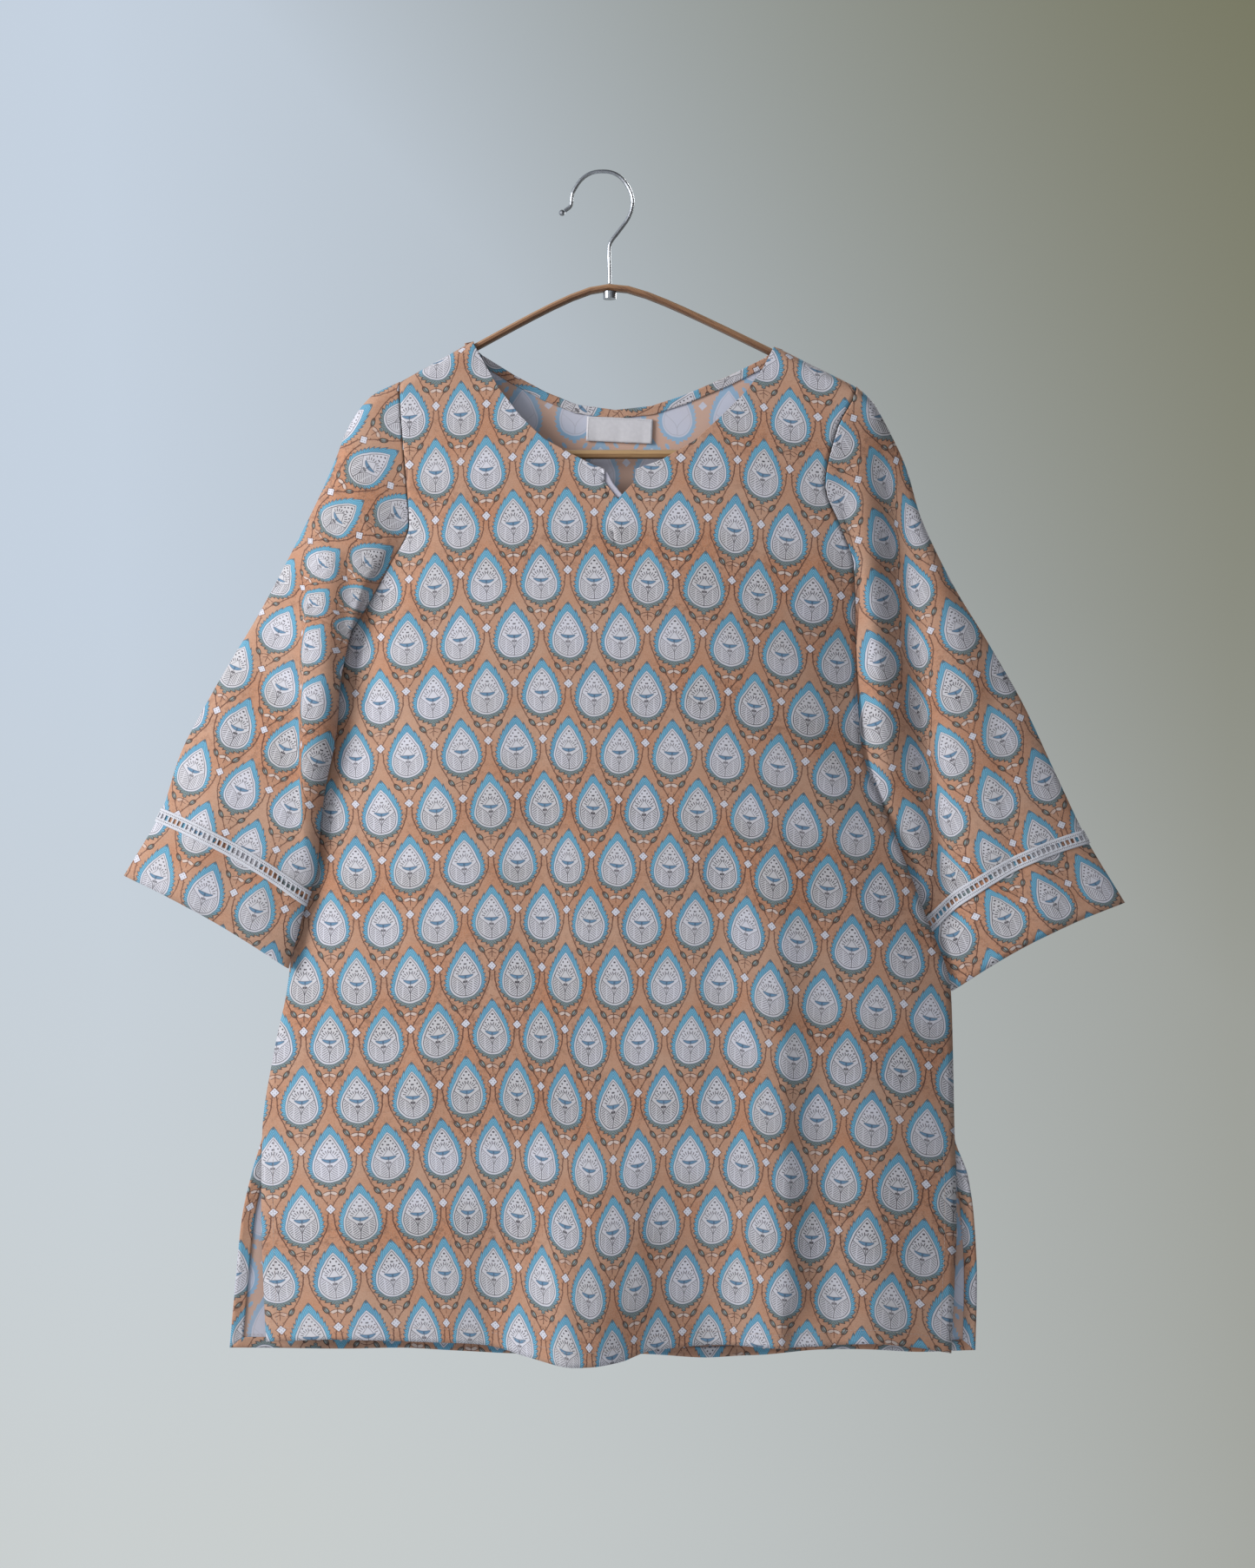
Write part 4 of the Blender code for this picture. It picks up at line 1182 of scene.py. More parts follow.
def dots(x, y):
    """Two files of dots inside a drop's straight upper edge."""
    tip = WHITE_DROP.tip
    along = x * DOT_LINE[0] - (y - tip) * DOT_LINE[1]
    inward = x * -DOT_LINE[1] - (y - tip) * DOT_LINE[0]
    files = []
    for inset, start in DOT_FILES:
        place = (along - start).wave(DOT_SPACING).squared()
        files.append((place + (inward - inset).squared()).below(*DOT_EDGE))
    return files[0] | files[1]


Vine = namedtuple("Vine", "lines outline leaf light diamond heart")


def diamond_masks(side, height):
    """A small white diamond, the line round it and the four seeds in it."""
    gap = side + height
    gap = gap & gap.scaled(-1, PITCH / 2 + ROW)
    side = side & side.scaled(-1, PITCH / 2)
    height = height & height.scaled(-1, ROW)
    seed_x = (side + height - SEED).squared()
    seed_y = ((side - height).absolute() - SEED).squared()
    line = (gap - (DIAMOND + DIAMOND_LINE)).line(VINE_LINE)
    return gap.below(DIAMOND), line, (seed_x + seed_y).below(*SEED_EDGE)


def vine_masks(across, up):
    """Lines and leaves between the drops, and the small white diamonds."""
    side, height = lattice(across, up + DIAMOND_DROP)
    diamond, lines, heart = diamond_masks(side, height)
    depth = height.scaled(-1, ROW)
    aside = side.scaled(-1, PITCH / 2)
    off = aside - depth.curve(VINE, (0, ROW), (0, PITCH / 2))
    thorn = (depth + off * THORN_SLANT).wave(THORN_SPACING).below(THORN_WIDTH)
    thorn = thorn * (off - THORN_ROOT).absolute().below(THORN_LENGTH)
    x = aside - LEAF_PLACE[0]
    y = depth - LEAF_PLACE[1]
    long = x * LEAF_TURN[0] + y * LEAF_TURN[1]
    wide = x * LEAF_TURN[1] - y * LEAF_TURN[0]
    leaf = oval(long, wide, *LEAF_SIZE).math("SQRT")
    outline = (leaf - LEAF_INK).absolute().below(LEAF_INK_WIDTH, LEAF_EDGE)
    fill = leaf.below(1.0, LEAF_EDGE)
    light = leaf.below(*LEAF_LIT)
    return Vine(lines | off.line(VINE_LINE) | thorn, outline, fill, light, diamond, heart)


Cloth = namedtuple("Cloth", "cloud grain band heavy wear")
Place = namedtuple("Place", "x y radius turn beyond slanted past")


def cloth_noises(tree, flat):
    """What varies over the cloth, and how much of the ink wore off."""
    cloud = uneven(tree, flat, CLOUD)
    grain = uneven(tree, flat, GRAIN)
    band = uneven(tree, stretched(tree, flat, BAND_STRETCH), BAND)
    heavy = band.above(*HEAVY_BAND)
    wear = grain.below(*WORN_INK).scaled(*INK_LEFT) + heavy * HEAVY_INK
    return Cloth(cloud, grain, band, heavy, wear)


def drop_place(across, up):
    """A point's place in the nearest drop, and how far it is past the two outlines."""
    x, y = nearest_drop(across, up)
    radius = (x.squared() + y.squared()).math("SQRT")
    turn = x.math("ARCTAN2", y * -1.0)
    edges = []
    for drop, reach in ((WHITE_DROP, WHITE_RANGE), (BORDER_DROP, BORDER_RANGE)):
        table = list(zip(*outline_radius(drop)))
        edges.append(turn.curve(table, (0, math.pi), reach))
    beyond = radius - edges[0]
    slanted = turn + beyond * -TOOTH_SLANT
    outer = edges[1] - slanted.wave(TOOTH).scaled(TOOTH_HEIGHT, -BORDER_GROWTH)
    return Place(x, y, radius, turn, beyond, slanted, radius - outer)


def dyed_ground(tree, flat, cloth):
    """The terracotta ground, deeper and paler in places and smudged."""
    smudge = uneven(tree, flat, SMUDGES).above(*SMUDGED) * cloth.heavy.scaled(*SMUDGE_RANGE)
    deep = (cloth.cloud + cloth.band * BAND_DYE).above(*DEEP_DYE)
    pale = cloth.grain.above(*PALE_DYE) * PALE_SHARE
    smudged = (smudge * SMUDGE_SHARE, SMUDGE)
    return layered(GROUND, (deep, GROUND_DEEP), smudged, (pale, GROUND_PALE))


def printed_border(face, cloth, at):
    """A drop's toothed blue border, greyer at the foot, with its strokes and edges."""
    low = at.y.below(*BORDER_SHADE)
    blue = painted(BLUE, cloth.cloud.below(*DEEP_BLUE) * BLUE_SHARE, BLUE_DEEP)
    border = at.past.below(BORDER_IN)
    strokes = at.slanted.wave(TOOTH / 2).below(*STROKE) * border * at.beyond.above(STROKE_CLEAR)
    return layered(
        face,
        (border, painted(blue, low, LEAF)),
        (strokes * STROKE_SHARE, INK_BLUE),
        (at.past.line(RIM_LINE) * low.scaled(*RIM_RANGE), INK_DARK),
        ((at.beyond - WHITE_RIM).line(HAIRLINE), INK_BLUE),
    )


def drop_lines(at):
    """The ring inside a drop's edge with the flower's lower line, and all other ink."""
    ring = (at.beyond + RING_INSET).line(HAIRLINE)
    lobe_range = (LOBE[0][0], LOBE[-1][0])
    bend = at.x - at.y.scaled(-1, LOBE_DEPTH).curve(LOBE, lobe_range, LOBE_WIDTH)
    outline = bend.line(PEN_LINE) * at.y.below(LOBE_TOP) * at.beyond.below(-RING_INSIDE)
    lobe = bend.above(HATCH_CLEAR) * at.beyond.below(-HATCH_INSET) * at.y.below(HATCH_TOP)
    hatch = (at.x * HATCH[0] + at.y * HATCH[1]).wave(HATCH_SPACING).below(HATCH_WIDTH)
    hatch = hatch * lobe * (at.x - HATCH_GAP_X).absolute().above(HATCH_GAP)
    dot_part = at.y.above(DOT_FOOT) * at.beyond.below(-DOT_INSET) * at.radius.above(DOT_CLEAR)
    ray = at.turn.wave(RAY_SPACING).below(*RAY_EDGE) * at.radius.between(*RAY_RING)
    tent = (at.x * TENT_SLOPE + at.y - TENT_TOP).line(HAIRLINE)
    stalk = at.x.line(PEN_LINE) * at.y.between(*STALK)
    bud = (at.x - BUD_PLACE[0]).squared() + (at.y - BUD_PLACE[1]).squared()
    flower = (ray | tent) * at.y.above(FLOWER_FOOT)
    frame_line = ring | outline
    below = (stalk | bud.below(*BUD_EDGE)) * SOFT_INK
    return frame_line, frame_line | hatch | dots(at.x, at.y) * dot_part | flower | below


def boat_masks(at):
    """The blue boat under the flower and its ink."""
    keel = at.y - at.x.squared().scaled(*KEEL)
    deck = at.y - at.x.squared().scaled(*DECK)
    boat = keel & (deck * -1.0)
    part = at.x.below(BOAT_REACH)
    ink = boat.line(PEN_LINE) * part | at.x.below(KEEL_LINE) * boat.above(KEEL_CLEAR)
    return boat.above(0) * part, ink * SOFT_INK


def foot_masks(at):
    """The petals at a drop's foot, and the ink of their edge and stem."""
    long = at.x * PETAL_TURN[0] - at.y * PETAL_TURN[1] - PETAL_PLACE[0]
    wide = at.x * PETAL_TURN[1] + at.y * PETAL_TURN[0] - PETAL_PLACE[1]
    petal = oval(long, wide, *PETAL_SIZE).math("SQRT")
    stem = at.x.line(PEN_LINE) * at.y.between(*FOOT_STEM)
    return petal.below(*PETAL_EDGE), stem | (petal - PETAL_INK).absolute().below(*PETAL_INK_EDGE)


def printed_face(tree, flat, cloth, at, vine, ink):
    """The colours of the cloth's right side."""
    paste = ((cloth.cloud + cloth.band) * PASTE_NOISE).above(*THICK_PASTE) * PASTE_SHARE
    boat, boat_ink = boat_masks(at)
    petal, foot = foot_masks(at)
    between = (vine.lines | foot) * at.past.above(VINE_CLEAR) * vine.diamond.scaled(-1, 1)
    face = layered(
        dyed_ground(tree, flat, cloth),
        (vine.diamond, WHITE),
        (vine.leaf, LEAF),
        (vine.light, LEAF_LIGHT),
        (vine.outline, INK_DARK),
        (vine.heart * HEART_SHARE, INK_GREY),
    )
    return layered(
        printed_border(face, cloth, at),
        (at.beyond.below(0), painted(WHITE, paste, WHITE_DEEP)),
        (ink * cloth.wear, INK_GREY),
        (boat, BOAT),
        (boat_ink, INK_BLUE),
        (petal * cloth.cloud.above(*PETAL_FILLED), PETAL),
        (between * cloth.wear, INK_BROWN),
        (cloth.grain.above(*FADED) * FADE_SHARE, GROUND_PALE),
    )


def printed_wrong(cloth, at, vine, lines):
    """The colours of the cloth's wrong side, where the print comes through softly."""
    return layered(
        GROUND_WRONG,
        (vine.diamond, WHITE_WRONG),
        (vine.leaf, BLUE_WRONG),
        (at.past.below(BORDER_IN), BLUE_WRONG),
        (at.beyond.below(0), WHITE_WRONG),
        (lines * WRONG_LINE_SHARE, INK_GREY),
        (cloth.cloud.above(*WRONG_PALE) * WRONG_PALE_SHARE, GROUND_PALE),
    )


def print_group():
    """The block print as a group: a place on the flat cloth gives its two faces."""
    tree = bpy.data.node_groups.new("block print", "ShaderNodeTree")
    tree.interface.new_socket("Flat", in_out="INPUT", socket_type="NodeSocketVector")
    tree.interface.new_socket("Face", in_out="OUTPUT", socket_type="NodeSocketColor")
    tree.interface.new_socket("Wrong", in_out="OUTPUT", socket_type="NodeSocketColor")
    flat = tree.nodes.new("NodeGroupInput").outputs[0]
    result = tree.nodes.new("NodeGroupOutput")
    across, up = block_units(tree, flat)
    cloth = cloth_noises(tree, flat)
    vine = vine_masks(across, up)
    at = drop_place(across, up)
    lines, ink = drop_lines(at)
    tree.links.new(printed_face(tree, flat, cloth, at, vine, ink), result.inputs["Face"])
    tree.links.new(printed_wrong(cloth, at, vine, lines), result.inputs["Wrong"])
    return tree


def flat_place(tree):
    node = tree.nodes.new("ShaderNodeUVMap")
    node.uv_map = "cut"
    return node.outputs[0]


def weave_height(tree, flat):
    """A plain weave as a height: two thread directions, one over the other by turns."""
    warp, weft = (place.wave(THREAD) for place in parts(tree, flat)[:2])
    return (warp + weft) * (1 / THREAD) + uneven(tree, flat, SLUB) * SLUB_RISE


def blank(name, roughness, metallic=0.0):
    """A new material and its shader, ready for nodes."""
    made = bpy.data.materials.new(name)
    made.use_nodes = True
    shader = made.node_tree.nodes["Principled BSDF"]
    shader.inputs["Roughness"].default_value = roughness
    shader.inputs["Metallic"].default_value = metallic
    return made, made.node_tree, shader


def coloured(tree, shader, colour):
    tree.links.new(colour, shader.inputs["Base Color"])


def raised(tree, shader, height, depth, strength=0.6):
    """A bump on the shader from a height between 0 and 1."""
    bump = tree.nodes.new("ShaderNodeBump")
    bump.inputs["Strength"].default_value = strength
    bump.inputs["Distance"].default_value = depth
    tree.links.new(height.socket, bump.inputs["Height"])
    tree.links.new(bump.outputs[0], shader.inputs["Normal"])


def cloth_material(name, output, roughness):
    made, tree, shader = blank(name, roughness)
    shader.inputs["Specular IOR Level"].default_value = COTTON_GLOSS
    shader.inputs["Sheen Weight"].default_value = COTTON_SHEEN
    shader.inputs["Sheen Roughness"].default_value = 0.6
    flat = flat_place(tree)
    group = tree.nodes.new("ShaderNodeGroup")
    group.node_tree = block_print
    tree.links.new(flat, group.inputs[0])
    coloured(tree, shader, group.outputs[output])
    raised(tree, shader, weave_height(tree, flat), WEAVE_DEPTH, 0.5)
    return made


def object_place(tree, scale=(1, 1, 1)):
    """Places in the object's own metres, stretched by a scale for each direction."""
    given = tree.nodes.new("ShaderNodeTexCoord")
    return stretched(tree, given.outputs["Object"], scale)


def surface_up(tree):
    """How far the surface faces up, from -1 to 1."""
    given = tree.nodes.new("ShaderNodeNewGeometry")
    return parts(tree, given.outputs["Normal"])[2]


def grain_place(tree, slope):
    """Places with X drawn out along the wood; the slope is how its two arms fall."""
    x, y, z = parts(tree, object_place(tree))
    straight = z + (x - APEX_X).absolute() * slope
    join = tree.nodes.new("ShaderNodeCombineXYZ")
    for target, value in zip(join.inputs, (x, y * GRAIN_STRETCH, straight * GRAIN_STRETCH)):
        tree.links.new(value.socket, target)
    return join.outputs[0]


def wood(name, look, slope):
    """Wood with its grain along X, with fine pores and a few dark marks, painted light on its
    top faces and painted shade on its underside.
    """
    made, tree, shader = blank(name, look.roughness)
    place = grain_place(tree, slope)
    grain = uneven(tree, place, WOOD_GRAIN)
    fine = uneven(tree, place, WOOD_PORES)
    stain = uneven(tree, object_place(tree), WOOD_STAIN)
    up = surface_up(tree)
    colour = layered(
        look.base,
        (grain.above(*DARK_GRAIN), look.dark),
        (fine.above(*OPEN_PORES) * PORE_SHARE, look.pore),
        (stain.above(*STAINED) * STAIN_SHARE, look.pore),
        # Painted light on the top faces and painted shade on the underside
        (up.above(*LIT_TOP_FACE) * TOP_LIGHT_SHARE, look.light),
        (up.below(*SHADED_UNDERSIDE) * UNDER_SHADE_SHARE, look.pore),
    )
    coloured(tree, shader, colour)
    rough = stain.scaled(0.25, look.roughness - 0.12)
    tree.links.new(rough.socket, shader.inputs["Roughness"])
    raised(tree, shader, grain + fine * 0.5, WOOD_DEPTH)
    return made


def brushed_steel():
    made, tree, shader = blank("brushed steel", 0.3, 1.0)
    scratch = uneven(tree, object_place(tree, (1, 1, 8)), SCRATCHES)
    dull = uneven(tree, object_place(tree), DULL_SPOTS)
    coloured(tree, shader, painted(STEEL, dull.above(*DULL_STEEL), STEEL_DULL))
    rough = scratch.scaled(0.25, 0.18) + dull * 0.15
    tree.links.new(rough.socket, shader.inputs["Roughness"])
    return made


def facing_material():
    """Pale lining cotton with a soft trace of the print from its other side."""
    made, tree, shader = blank("facing cotton", COTTON_ROUGHNESS)
    flat = flat_place(tree)
    soft = uneven(tree, flat, LINING_SHADE)
    coloured(tree, shader, painted(FACING, soft.above(*LINING_SHADED) * 0.5, FACING_DEEP))
    raised(tree, shader, weave_height(tree, flat), WEAVE_DEPTH)
    return made


def satin_material():
    """Woven satin with long weft floats, and painted shade along the ribs between them."""
    made, tree, shader = blank("label satin", SATIN_ROUGHNESS)
    shader.inputs["Sheen Weight"].default_value = TRIM_SHEEN
    flat = flat_place(tree)
    rib = parts(tree, flat)[1].wave(SATIN_RIB) * (2 / SATIN_RIB)
    soft = uneven(tree, flat, SATIN_SHADE)
    shade = soft.above(*SATIN_SHADED) * 0.6
    # Painted shade along the ribs between the weft floats
    shadow = rib.above(*SATIN_RIB_SHADOW) * 0.3
    coloured(tree, shader, layered(SATIN, (shade, SATIN_DEEP), (shadow, SATIN_DEEP)))
    raised(tree, shader, rib * 0.5 + soft * 0.5, SATIN_DEPTH)
    return made


def lace_material():
    """Cotton lace: twisted threads, with rows of small eyelets along both rails, painted dark as
    painted shade in their holes.
    """
    made, tree, shader = blank("cotton lace", COTTON_ROUGHNESS)
    shader.inputs["Sheen Weight"].default_value = TRIM_SHEEN
    along, across, _ = parts(tree, flat_place(tree))
    across = across.absolute()
    twist = (along + across * TWIST_SLANT).wave(LACE_TWIST) * (2 / LACE_TWIST)
    # The eyelets are painted dark: painted shade in their holes
    shaded_eyelet = oval(along.wave(EYELET_SPACING), across - EYELET_PLACE, EYELET, EYELET).below(1.0, 0.5)
    cord = (across - LACE_CORD).line(LACE_CORD_WIDTH)
    coats = ((twist.below(*TWIST_SHADED) * 0.6, LACE_SHADE), (shaded_eyelet, LACE_EYELET_SHADE))
    coloured(tree, shader, layered(LACE_WHITE, *coats))
    raised(tree, shader, twist * 0.5 - shaded_eyelet * 1.5 + cord, LACE_RELIEF, 0.9)
    return made


def thread_material(name, colour, deep):
    made, tree, shader = blank(name, THREAD_ROUGHNESS)
    twist = uneven(tree, object_place(tree), THREAD_TWIST)
    coloured(tree, shader, painted(colour, twist.above(0.5, 0.3), deep))
    return made


def make_panel(name, side, neck, hem):
    grid = panel_grid(side, neck, hem)
    return cloth_piece(name, grid, panel_uv(side, grid), printed, flip=side > 0)


def make_sleeve(name, sleeve):
    stations = np.linspace(0, len(sleeve.rows) - 1, SLEEVE_ROWS)
    front, back, ring = sleeve_ring(sleeve, stations)
    front_uv, back_uv = sleeve_uv(front, back, sleeve)
    uv = np.concatenate([front_uv, back_uv[:, ::-1]], axis=1)
    return cloth_piece(name, ring, uv, printed, flip=not sleeve.on_left, split=SLEEVE_COLUMNS)


def ladder_stops(length):
    """Places along the lace: four for each bar and the hole after it."""
    holes = round(length / LACE_PITCH)
    pitch = length / holes
    stops = [k * pitch + s * LACE_BAR for k in range(holes) for s in (0, 0.5, 1)]
    stops += [k * pitch + (LACE_BAR + pitch) / 2 for k in range(holes)]
    return np.array(sorted(stops))


def make_lace(name, sleeve):
    """The ladder lace, one closed band laid on the sleeve, with a hole between bars."""
    rows = np.array(LACE_ROWS)
    ring = sleeve_ring(sleeve, LACE_STATION + rows)[2]
    ring = ring + outward(ring) * (-LACE_LIFT if sleeve.on_left else LACE_LIFT)
    ring = np.concatenate([ring, ring[:, :1]], axis=1)
    gone = distance_along(ring[len(rows) // 2])
    stops = ladder_stops(gone[-1])
    index = np.interp(stops, gone, np.arange(len(gone)))
    low = index.astype(int)
    part = (index - low)[None, :, None]
    band = ring[:, low] * (1 - part) + ring[:, low + 1] * part
    width = np.linalg.norm(ring[-1] - ring[0], axis=1).mean()
    across = (rows - 0.5) * width / (rows[-1] - rows[0])
    uv = np.stack(np.meshgrid(np.append(stops, gone[-1]), across), axis=2)

    def solid(i, j):
        return i != len(rows) // 2 - 1 or j % 4 < 2

    flip = not sleeve.on_left
    return cloth_piece(name, band, uv, (lace,), LACE, flip, split=len(stops), kept=solid)


def make_neck_band():
    line = neck_line(BACK_NECK)
    across = np.array(BAND_STOPS)[:, None] * MM
    run = downward(line)
    band = [on_face(1, *(line + run * stop).T, -LAYER) for stop in across]
    along = distance_along(line)[None, :]
    start_u, start_v = BAND_BIAS
    u = start_u + (along + across) * math.sqrt(0.5)
    v = start_v + (along - across) * math.sqrt(0.5)
    return cloth_piece("back_neck_band", np.array(band), np.stack([u, v], axis=2), printed)


def vent_and_hem_line(side, hem):
    """The open edge of a panel: down its left vent, along the hem and up the right one."""
    left_name, right_name = side_names(side)
    down = np.linspace(VENT_TOP_Z * MM, hem.z[0] * MM, VENT_STEPS)
    up = np.linspace(hem.z[-1] * MM, VENT_TOP_Z * MM, VENT_STEPS)
    x = np.linspace(hem.x[0] * MM, hem.x[-1] * MM, HEM_STEPS)[1:-1]
    runs = (body(left_name, down), down), (x, hem_height(hem, x)), (body(right_name, up), up)
    return np.concatenate([np.stack(run, axis=1) for run in runs])


def inset_line(side, hem, inset, side_share=1.0):
    """A panel's open edge moved in, with mitred corners."""
    left_name, right_name = side_names(side)
    x, z = vent_and_hem_line(side, hem).T
    aside = inset * side_share
    moved_x = np.clip(x, body(left_name, z) + aside, body(right_name, z) - aside)
    moved_z = np.maximum(z, hem_height(hem, moved_x) + inset)
    return np.stack([moved_x, moved_z], axis=1)


def make_back_turned_edge():
    lines = [inset_line(1, BACK_HEM, stop * MM, TURNED_SIDE_SHARE).T for stop in TURNED_STOPS]
    grid = np.array([on_face(1, *line, -LAYER) for line in lines])
    uv = panel_uv(1, grid)
    return cloth_piece("back_turned_hem", grid, 2 * uv[:1] - uv, printed, flip=True)


def make_notch_facing():
    """The facing's turned edge that shows inside the left of the notch."""
    steps, columns = FACING_GRID
    stops = np.arange(len(NOTCH_FACING))
    at = np.linspace(0, stops[-1], steps)
    x, z, width = (np.interp(at, stops, column)[:, None] * MM for column in zip(*NOTCH_FACING))
    xs = x + width * np.linspace(0, 1, columns)
    grid = on_face(-1, xs, np.repeat(z, columns, axis=1), -FACING_LIFT)
    return cloth_piece("notch_facing_fold", grid, grid[:, :, [0, 2]], (facing_cotton,))


def make_label():
    width, height = LABEL_SIZE
    columns, rows = LABEL_GRID
    across = np.linspace(-0.5, 0.5, columns) * width
    along, rise = np.meshgrid(across, np.linspace(0.5, -0.5, rows) * height)
    x = LABEL_CENTRE[0] + along - rise * LABEL_TURN
    z = LABEL_CENTRE[1] + rise + along * LABEL_TURN
    wave = np.sin(along / width * LABEL_WAVES) * (0.5 - rise / height) * LABEL_WAVE
    grid = on_face(1, x, z, -LABEL_LIFT - np.abs(wave))
    uv = np.stack([along, rise], axis=2)
    return cloth_piece("label_tag", grid, uv, (label_satin,), LABEL_WALL), grid


def stitch_faces(first):
    """A stitch's faces: three runs of four sides between its sections, and two ends."""
    faces = []
    for section in range(first, first + 12, 4):
        for c in range(4):
            d = (c + 1) % 4
            faces.append((section + c, section + d, section + 4 + d, section + 4 + c))
    faces.append((first + 3, first + 2, first + 1, first))
    faces.append((first + 12, first + 13, first + 14, first + 15))
    return faces


def stitch_run(line, normal, seam):
    """Points of a row of stitches along a line of 3-D points, 16 for each."""
    along = distance_along(line)
    count = int(along[-1] / (seam.length + seam.gap))
    starts = np.arange(count) * (seam.length + seam.gap) + seam.gap / 2
    at = (starts[:, None] + STITCH_PLACES * seam.length).ravel()
    middle, out, run = (
        np.stack([np.interp(at, along, column) for column in field.T], axis=1)
        for field in (line, normal, np.gradient(line, axis=0))
    )
    aside = np.cross(run, out)
    aside /= np.linalg.norm(aside, axis=1, keepdims=True)
    size = np.tile(STITCH_SIZES, count)[:, None] * seam.thread
    middle = middle + out * np.tile(STITCH_RISES, count)[:, None] * seam.thread
    corners = [middle + out * size, middle + aside * size]
    corners += [middle - out * size, middle - aside * size]
    return np.stack(corners, axis=1).reshape(-1, 3)


def stitches(name, runs, seam, finish):
    """One piece of all the stitch rows given as (line, normal) pairs."""
    points = np.concatenate([stitch_run(line, normal, seam) for line, normal in runs])
    faces = [face for first in range(0, len(points), 16) for face in stitch_faces(first)]
    return piece(name, points, faces, None, [finish])


def on_panel(side, flat_line, lift):
    """A line of a panel's face as 3-D points, with the way out from the cloth."""
    line = on_face(side, *flat_line.T, lift)
    normal = np.tile((0.0, float(side) if lift > 0 else -float(side), 0.0), (len(line), 1))
    return line, normal


def make_hem_stitches():
    vents = VENT_STITCH / HEM_STITCH
    front = inset_line(-1, FRONT_HEM, HEM_STITCH, vents)
    back = inset_line(1, BACK_HEM, HEM_STITCH, vents)
    runs = [on_panel(-1, front, STITCH_LIFT)]
    runs += [on_panel(1, back, lift) for lift in (STITCH_LIFT, -STITCH_LIFT)]
    return stitches("hem_stitches", runs, MACHINE, thread)


def make_neck_stitches():
    line = neck_line(BACK_NECK)
    run = on_panel(1, line + downward(line) * BAND_STITCH * MM, -LAYER - STITCH_LIFT)
    return stitches("neck_stitches", [run], FINE, thread)


def make_label_stitches(grid):
    runs = []
    for line in (grid[1, 1:-1], grid[1:, 1], grid[1:, -2]):
        line = line - np.array((0, LABEL_WALL / 2 + LABEL_STITCH_LIFT, 0))
        runs.append((line, np.tile((0.0, -1.0, 0.0), (len(line), 1))))
    return stitches("label_stitches", runs, FINE, label_thread)


def make_world():
    """The wall behind, with painted light on its left and painted shade on its right and in its
    top right corner, and a room that is darker on the right.
    """
    world = bpy.data.worlds.new("studio")
    world.use_nodes = True
    tree = world.node_tree
    given = tree.nodes.new("ShaderNodeTexCoord")
    x, y, z = parts(tree, given.outputs["Generated"])
    # Painted light on the wall's left, painted shade on its right and in its top right corner
    wall = layered(
        WALL_LIT_LEFT,
        (x.above(*WALL_TURN), WALL_SHADED_RIGHT),
        (z.below(*LOW_RISE) * LOW_SHARE * x.below(*LOW_SIDE), WALL_LOW),
        ((x + z).above(*CORNER_RISE) * x.below(*CORNER_SIDE), WALL_SHADED_CORNER),
    )
    room = painted(ROOM_LEFT, x.above(*ROOM_TURN), ROOM_RIGHT)
    colour = painted(wall, y.below(*ROOM_START), room)
    tree.links.new(colour, tree.nodes["Background"].inputs["Color"])
    bpy.context.scene.world = world


def make_floor():
    size = FLOOR_SIZE / 2
    corners = [(-size, -size), (size, -size), (size, size), (-size, size)]
    finish, _, shader = blank("floor", FLOOR_ROUGHNESS)
    shader.inputs["Base Color"].default_value = (*FLOOR_COLOUR, 1)
    points = [(x, y, FLOOR_Z) for x, y in corners]
    floor = piece("floor", points, [(0, 1, 2, 3)], None, [finish])


def make_camera():
    data = bpy.data.cameras.new("camera")
    data.sensor_fit = "VERTICAL"
    data.angle = 2 * math.atan(VIEW_HEIGHT / 2 / CAMERA_DISTANCE)
    camera = bpy.data.objects.new("camera", data)
    camera.location = (CAMERA_X, -CAMERA_DISTANCE, CAMERA_Z)
    camera.rotation_euler = (math.pi / 2, 0, 0)
    bpy.context.scene.collection.objects.link(camera)
    bpy.context.scene.camera = camera


def make_lamps():
    for lamp in LAMPS:
        data = bpy.data.lights.new(lamp.name, "AREA")
        data.shape = "DISK"
        data.size = lamp.size
        data.energy = lamp.power
        data.color = lamp.tint
        made = bpy.data.objects.new(lamp.name, data)
        made.location = lamp.place
        aim = Vector(LAMP_AIM) - Vector(lamp.place)
        made.rotation_euler = aim.to_track_quat("-Z", "Y").to_euler()
        bpy.context.scene.collection.objects.link(made)


def carry(made, nodes, slot_name):
    """Hides the nodes that a piece stands for, if any, and attaches the piece to the root body.
    Its slot_name is not used.
    """
    if nodes:
        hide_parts(*nodes)
    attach(made, "root")


def declare(made, nodes, slot_name):
    """Hides the nodes that a cloth piece stands for and attaches the piece to the root body,
    through carry.
    """
    carry(made, nodes, slot_name)


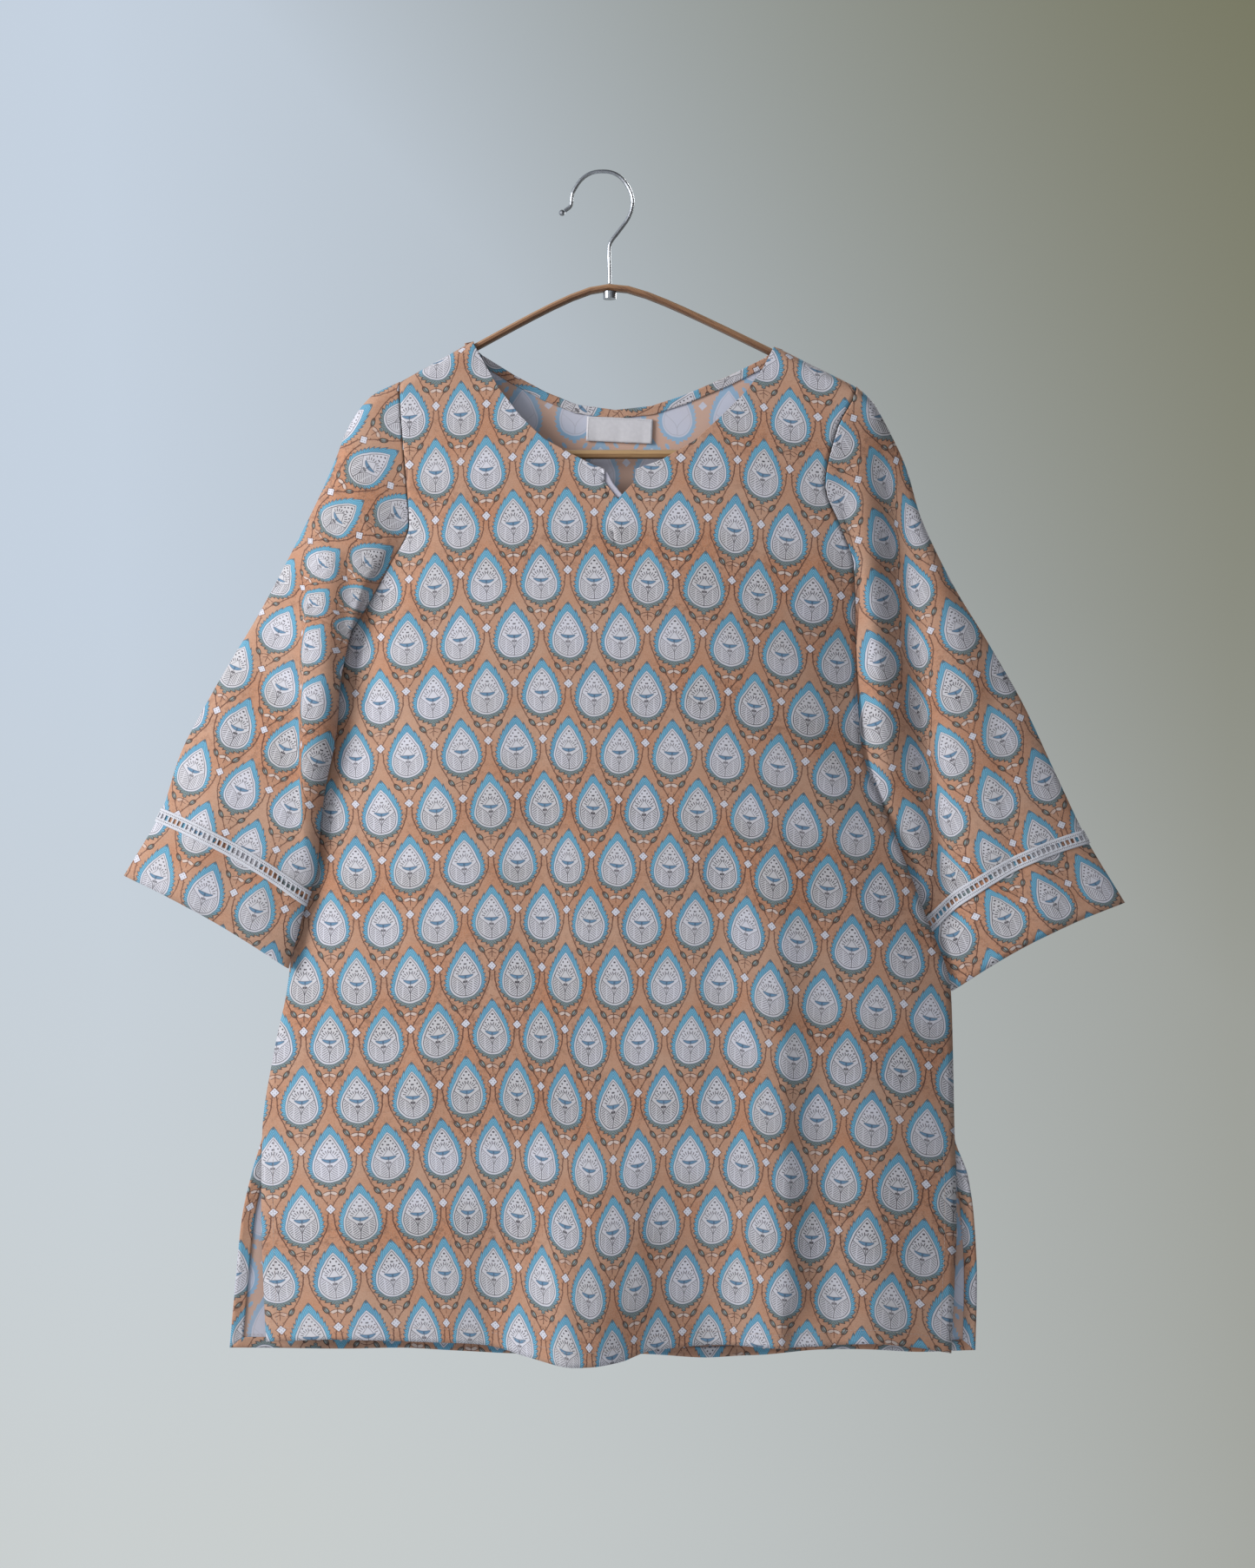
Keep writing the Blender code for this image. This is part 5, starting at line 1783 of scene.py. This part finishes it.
block_print = print_group()
print_cloth = cloth_material("printed cotton", "Face", COTTON_ROUGHNESS)
print_wrong = cloth_material("printed cotton, wrong side", "Wrong", WRONG_ROUGHNESS)
printed = (print_cloth, print_wrong)
lace = lace_material()
facing_cotton = facing_material()
label_satin = satin_material()
thread = thread_material("sewing thread", THREAD_LIGHT, THREAD_DEEP)
label_thread = thread_material("label thread", LABEL_THREAD, SATIN_DEEP)
hanger_finishes = {
    "hanger_bar": wood("brown wood", BAR_WOOD, ARM_SLOPE),
    "hanger_crossbar": wood("honey wood", DOWEL_WOOD, 0.0),
}
steel = brushed_steel()
hanger_finishes.update({"hanger_hook": steel, "hook_ball": steel, "hanger_nut": steel})
for name, finish in hanger_finishes.items():
    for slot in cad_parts[name].material_slots:
        slot.material = finish

front_piece = make_panel("tunic_front", -1, FRONT_NECK, FRONT_HEM)
back_piece = make_panel("tunic_back", 1, BACK_NECK, BACK_HEM)
left_sleeve = make_sleeve("tunic_sleeve_left", LEFT)
right_sleeve = make_sleeve("tunic_sleeve_right", RIGHT)
left_lace = make_lace("lace_band_left", LEFT)
right_lace = make_lace("lace_band_right", RIGHT)
neck_band = make_neck_band()
turned_edge = make_back_turned_edge()
notch_facing = make_notch_facing()
label, label_grid = make_label()
hem_stitches = make_hem_stitches()
neck_stitches = make_neck_stitches()
label_stitches = make_label_stitches(label_grid)
make_floor()
make_camera()
make_lamps()
make_world()
bpy.context.scene.view_settings.view_transform = "Standard"

trims = [
    Trim(neck_band, ["neck_band"], "printed_cotton"),
    Trim(turned_edge, ["back_turned_edge"], "printed_cotton_turned"),
    Trim(notch_facing, ["notch_facing"], "facing_cotton"),
    Trim(label, ["label"], "label_satin"),
    Trim(hem_stitches, [], "facing_cotton"),
    Trim(neck_stitches, [], "facing_cotton"),
    Trim(label_stitches, [], "label_satin"),
]
for trim in trims:
    carry(*trim)
carry(front_piece, ["front_panel"], "printed_cotton")
carry(back_piece, ["back_panel"], "printed_cotton")
declare(left_sleeve, ["sleeve_left"], "printed_cotton")
declare(right_sleeve, ["sleeve_right"], "printed_cotton")
lace_nodes = ["lace_sleeve_left_front", "lace_sleeve_left_back"]
declare(left_lace, lace_nodes, "cotton_lace")
lace_nodes = ["lace_sleeve_right_front", "lace_sleeve_right_back"]
declare(right_lace, lace_nodes, "cotton_lace")
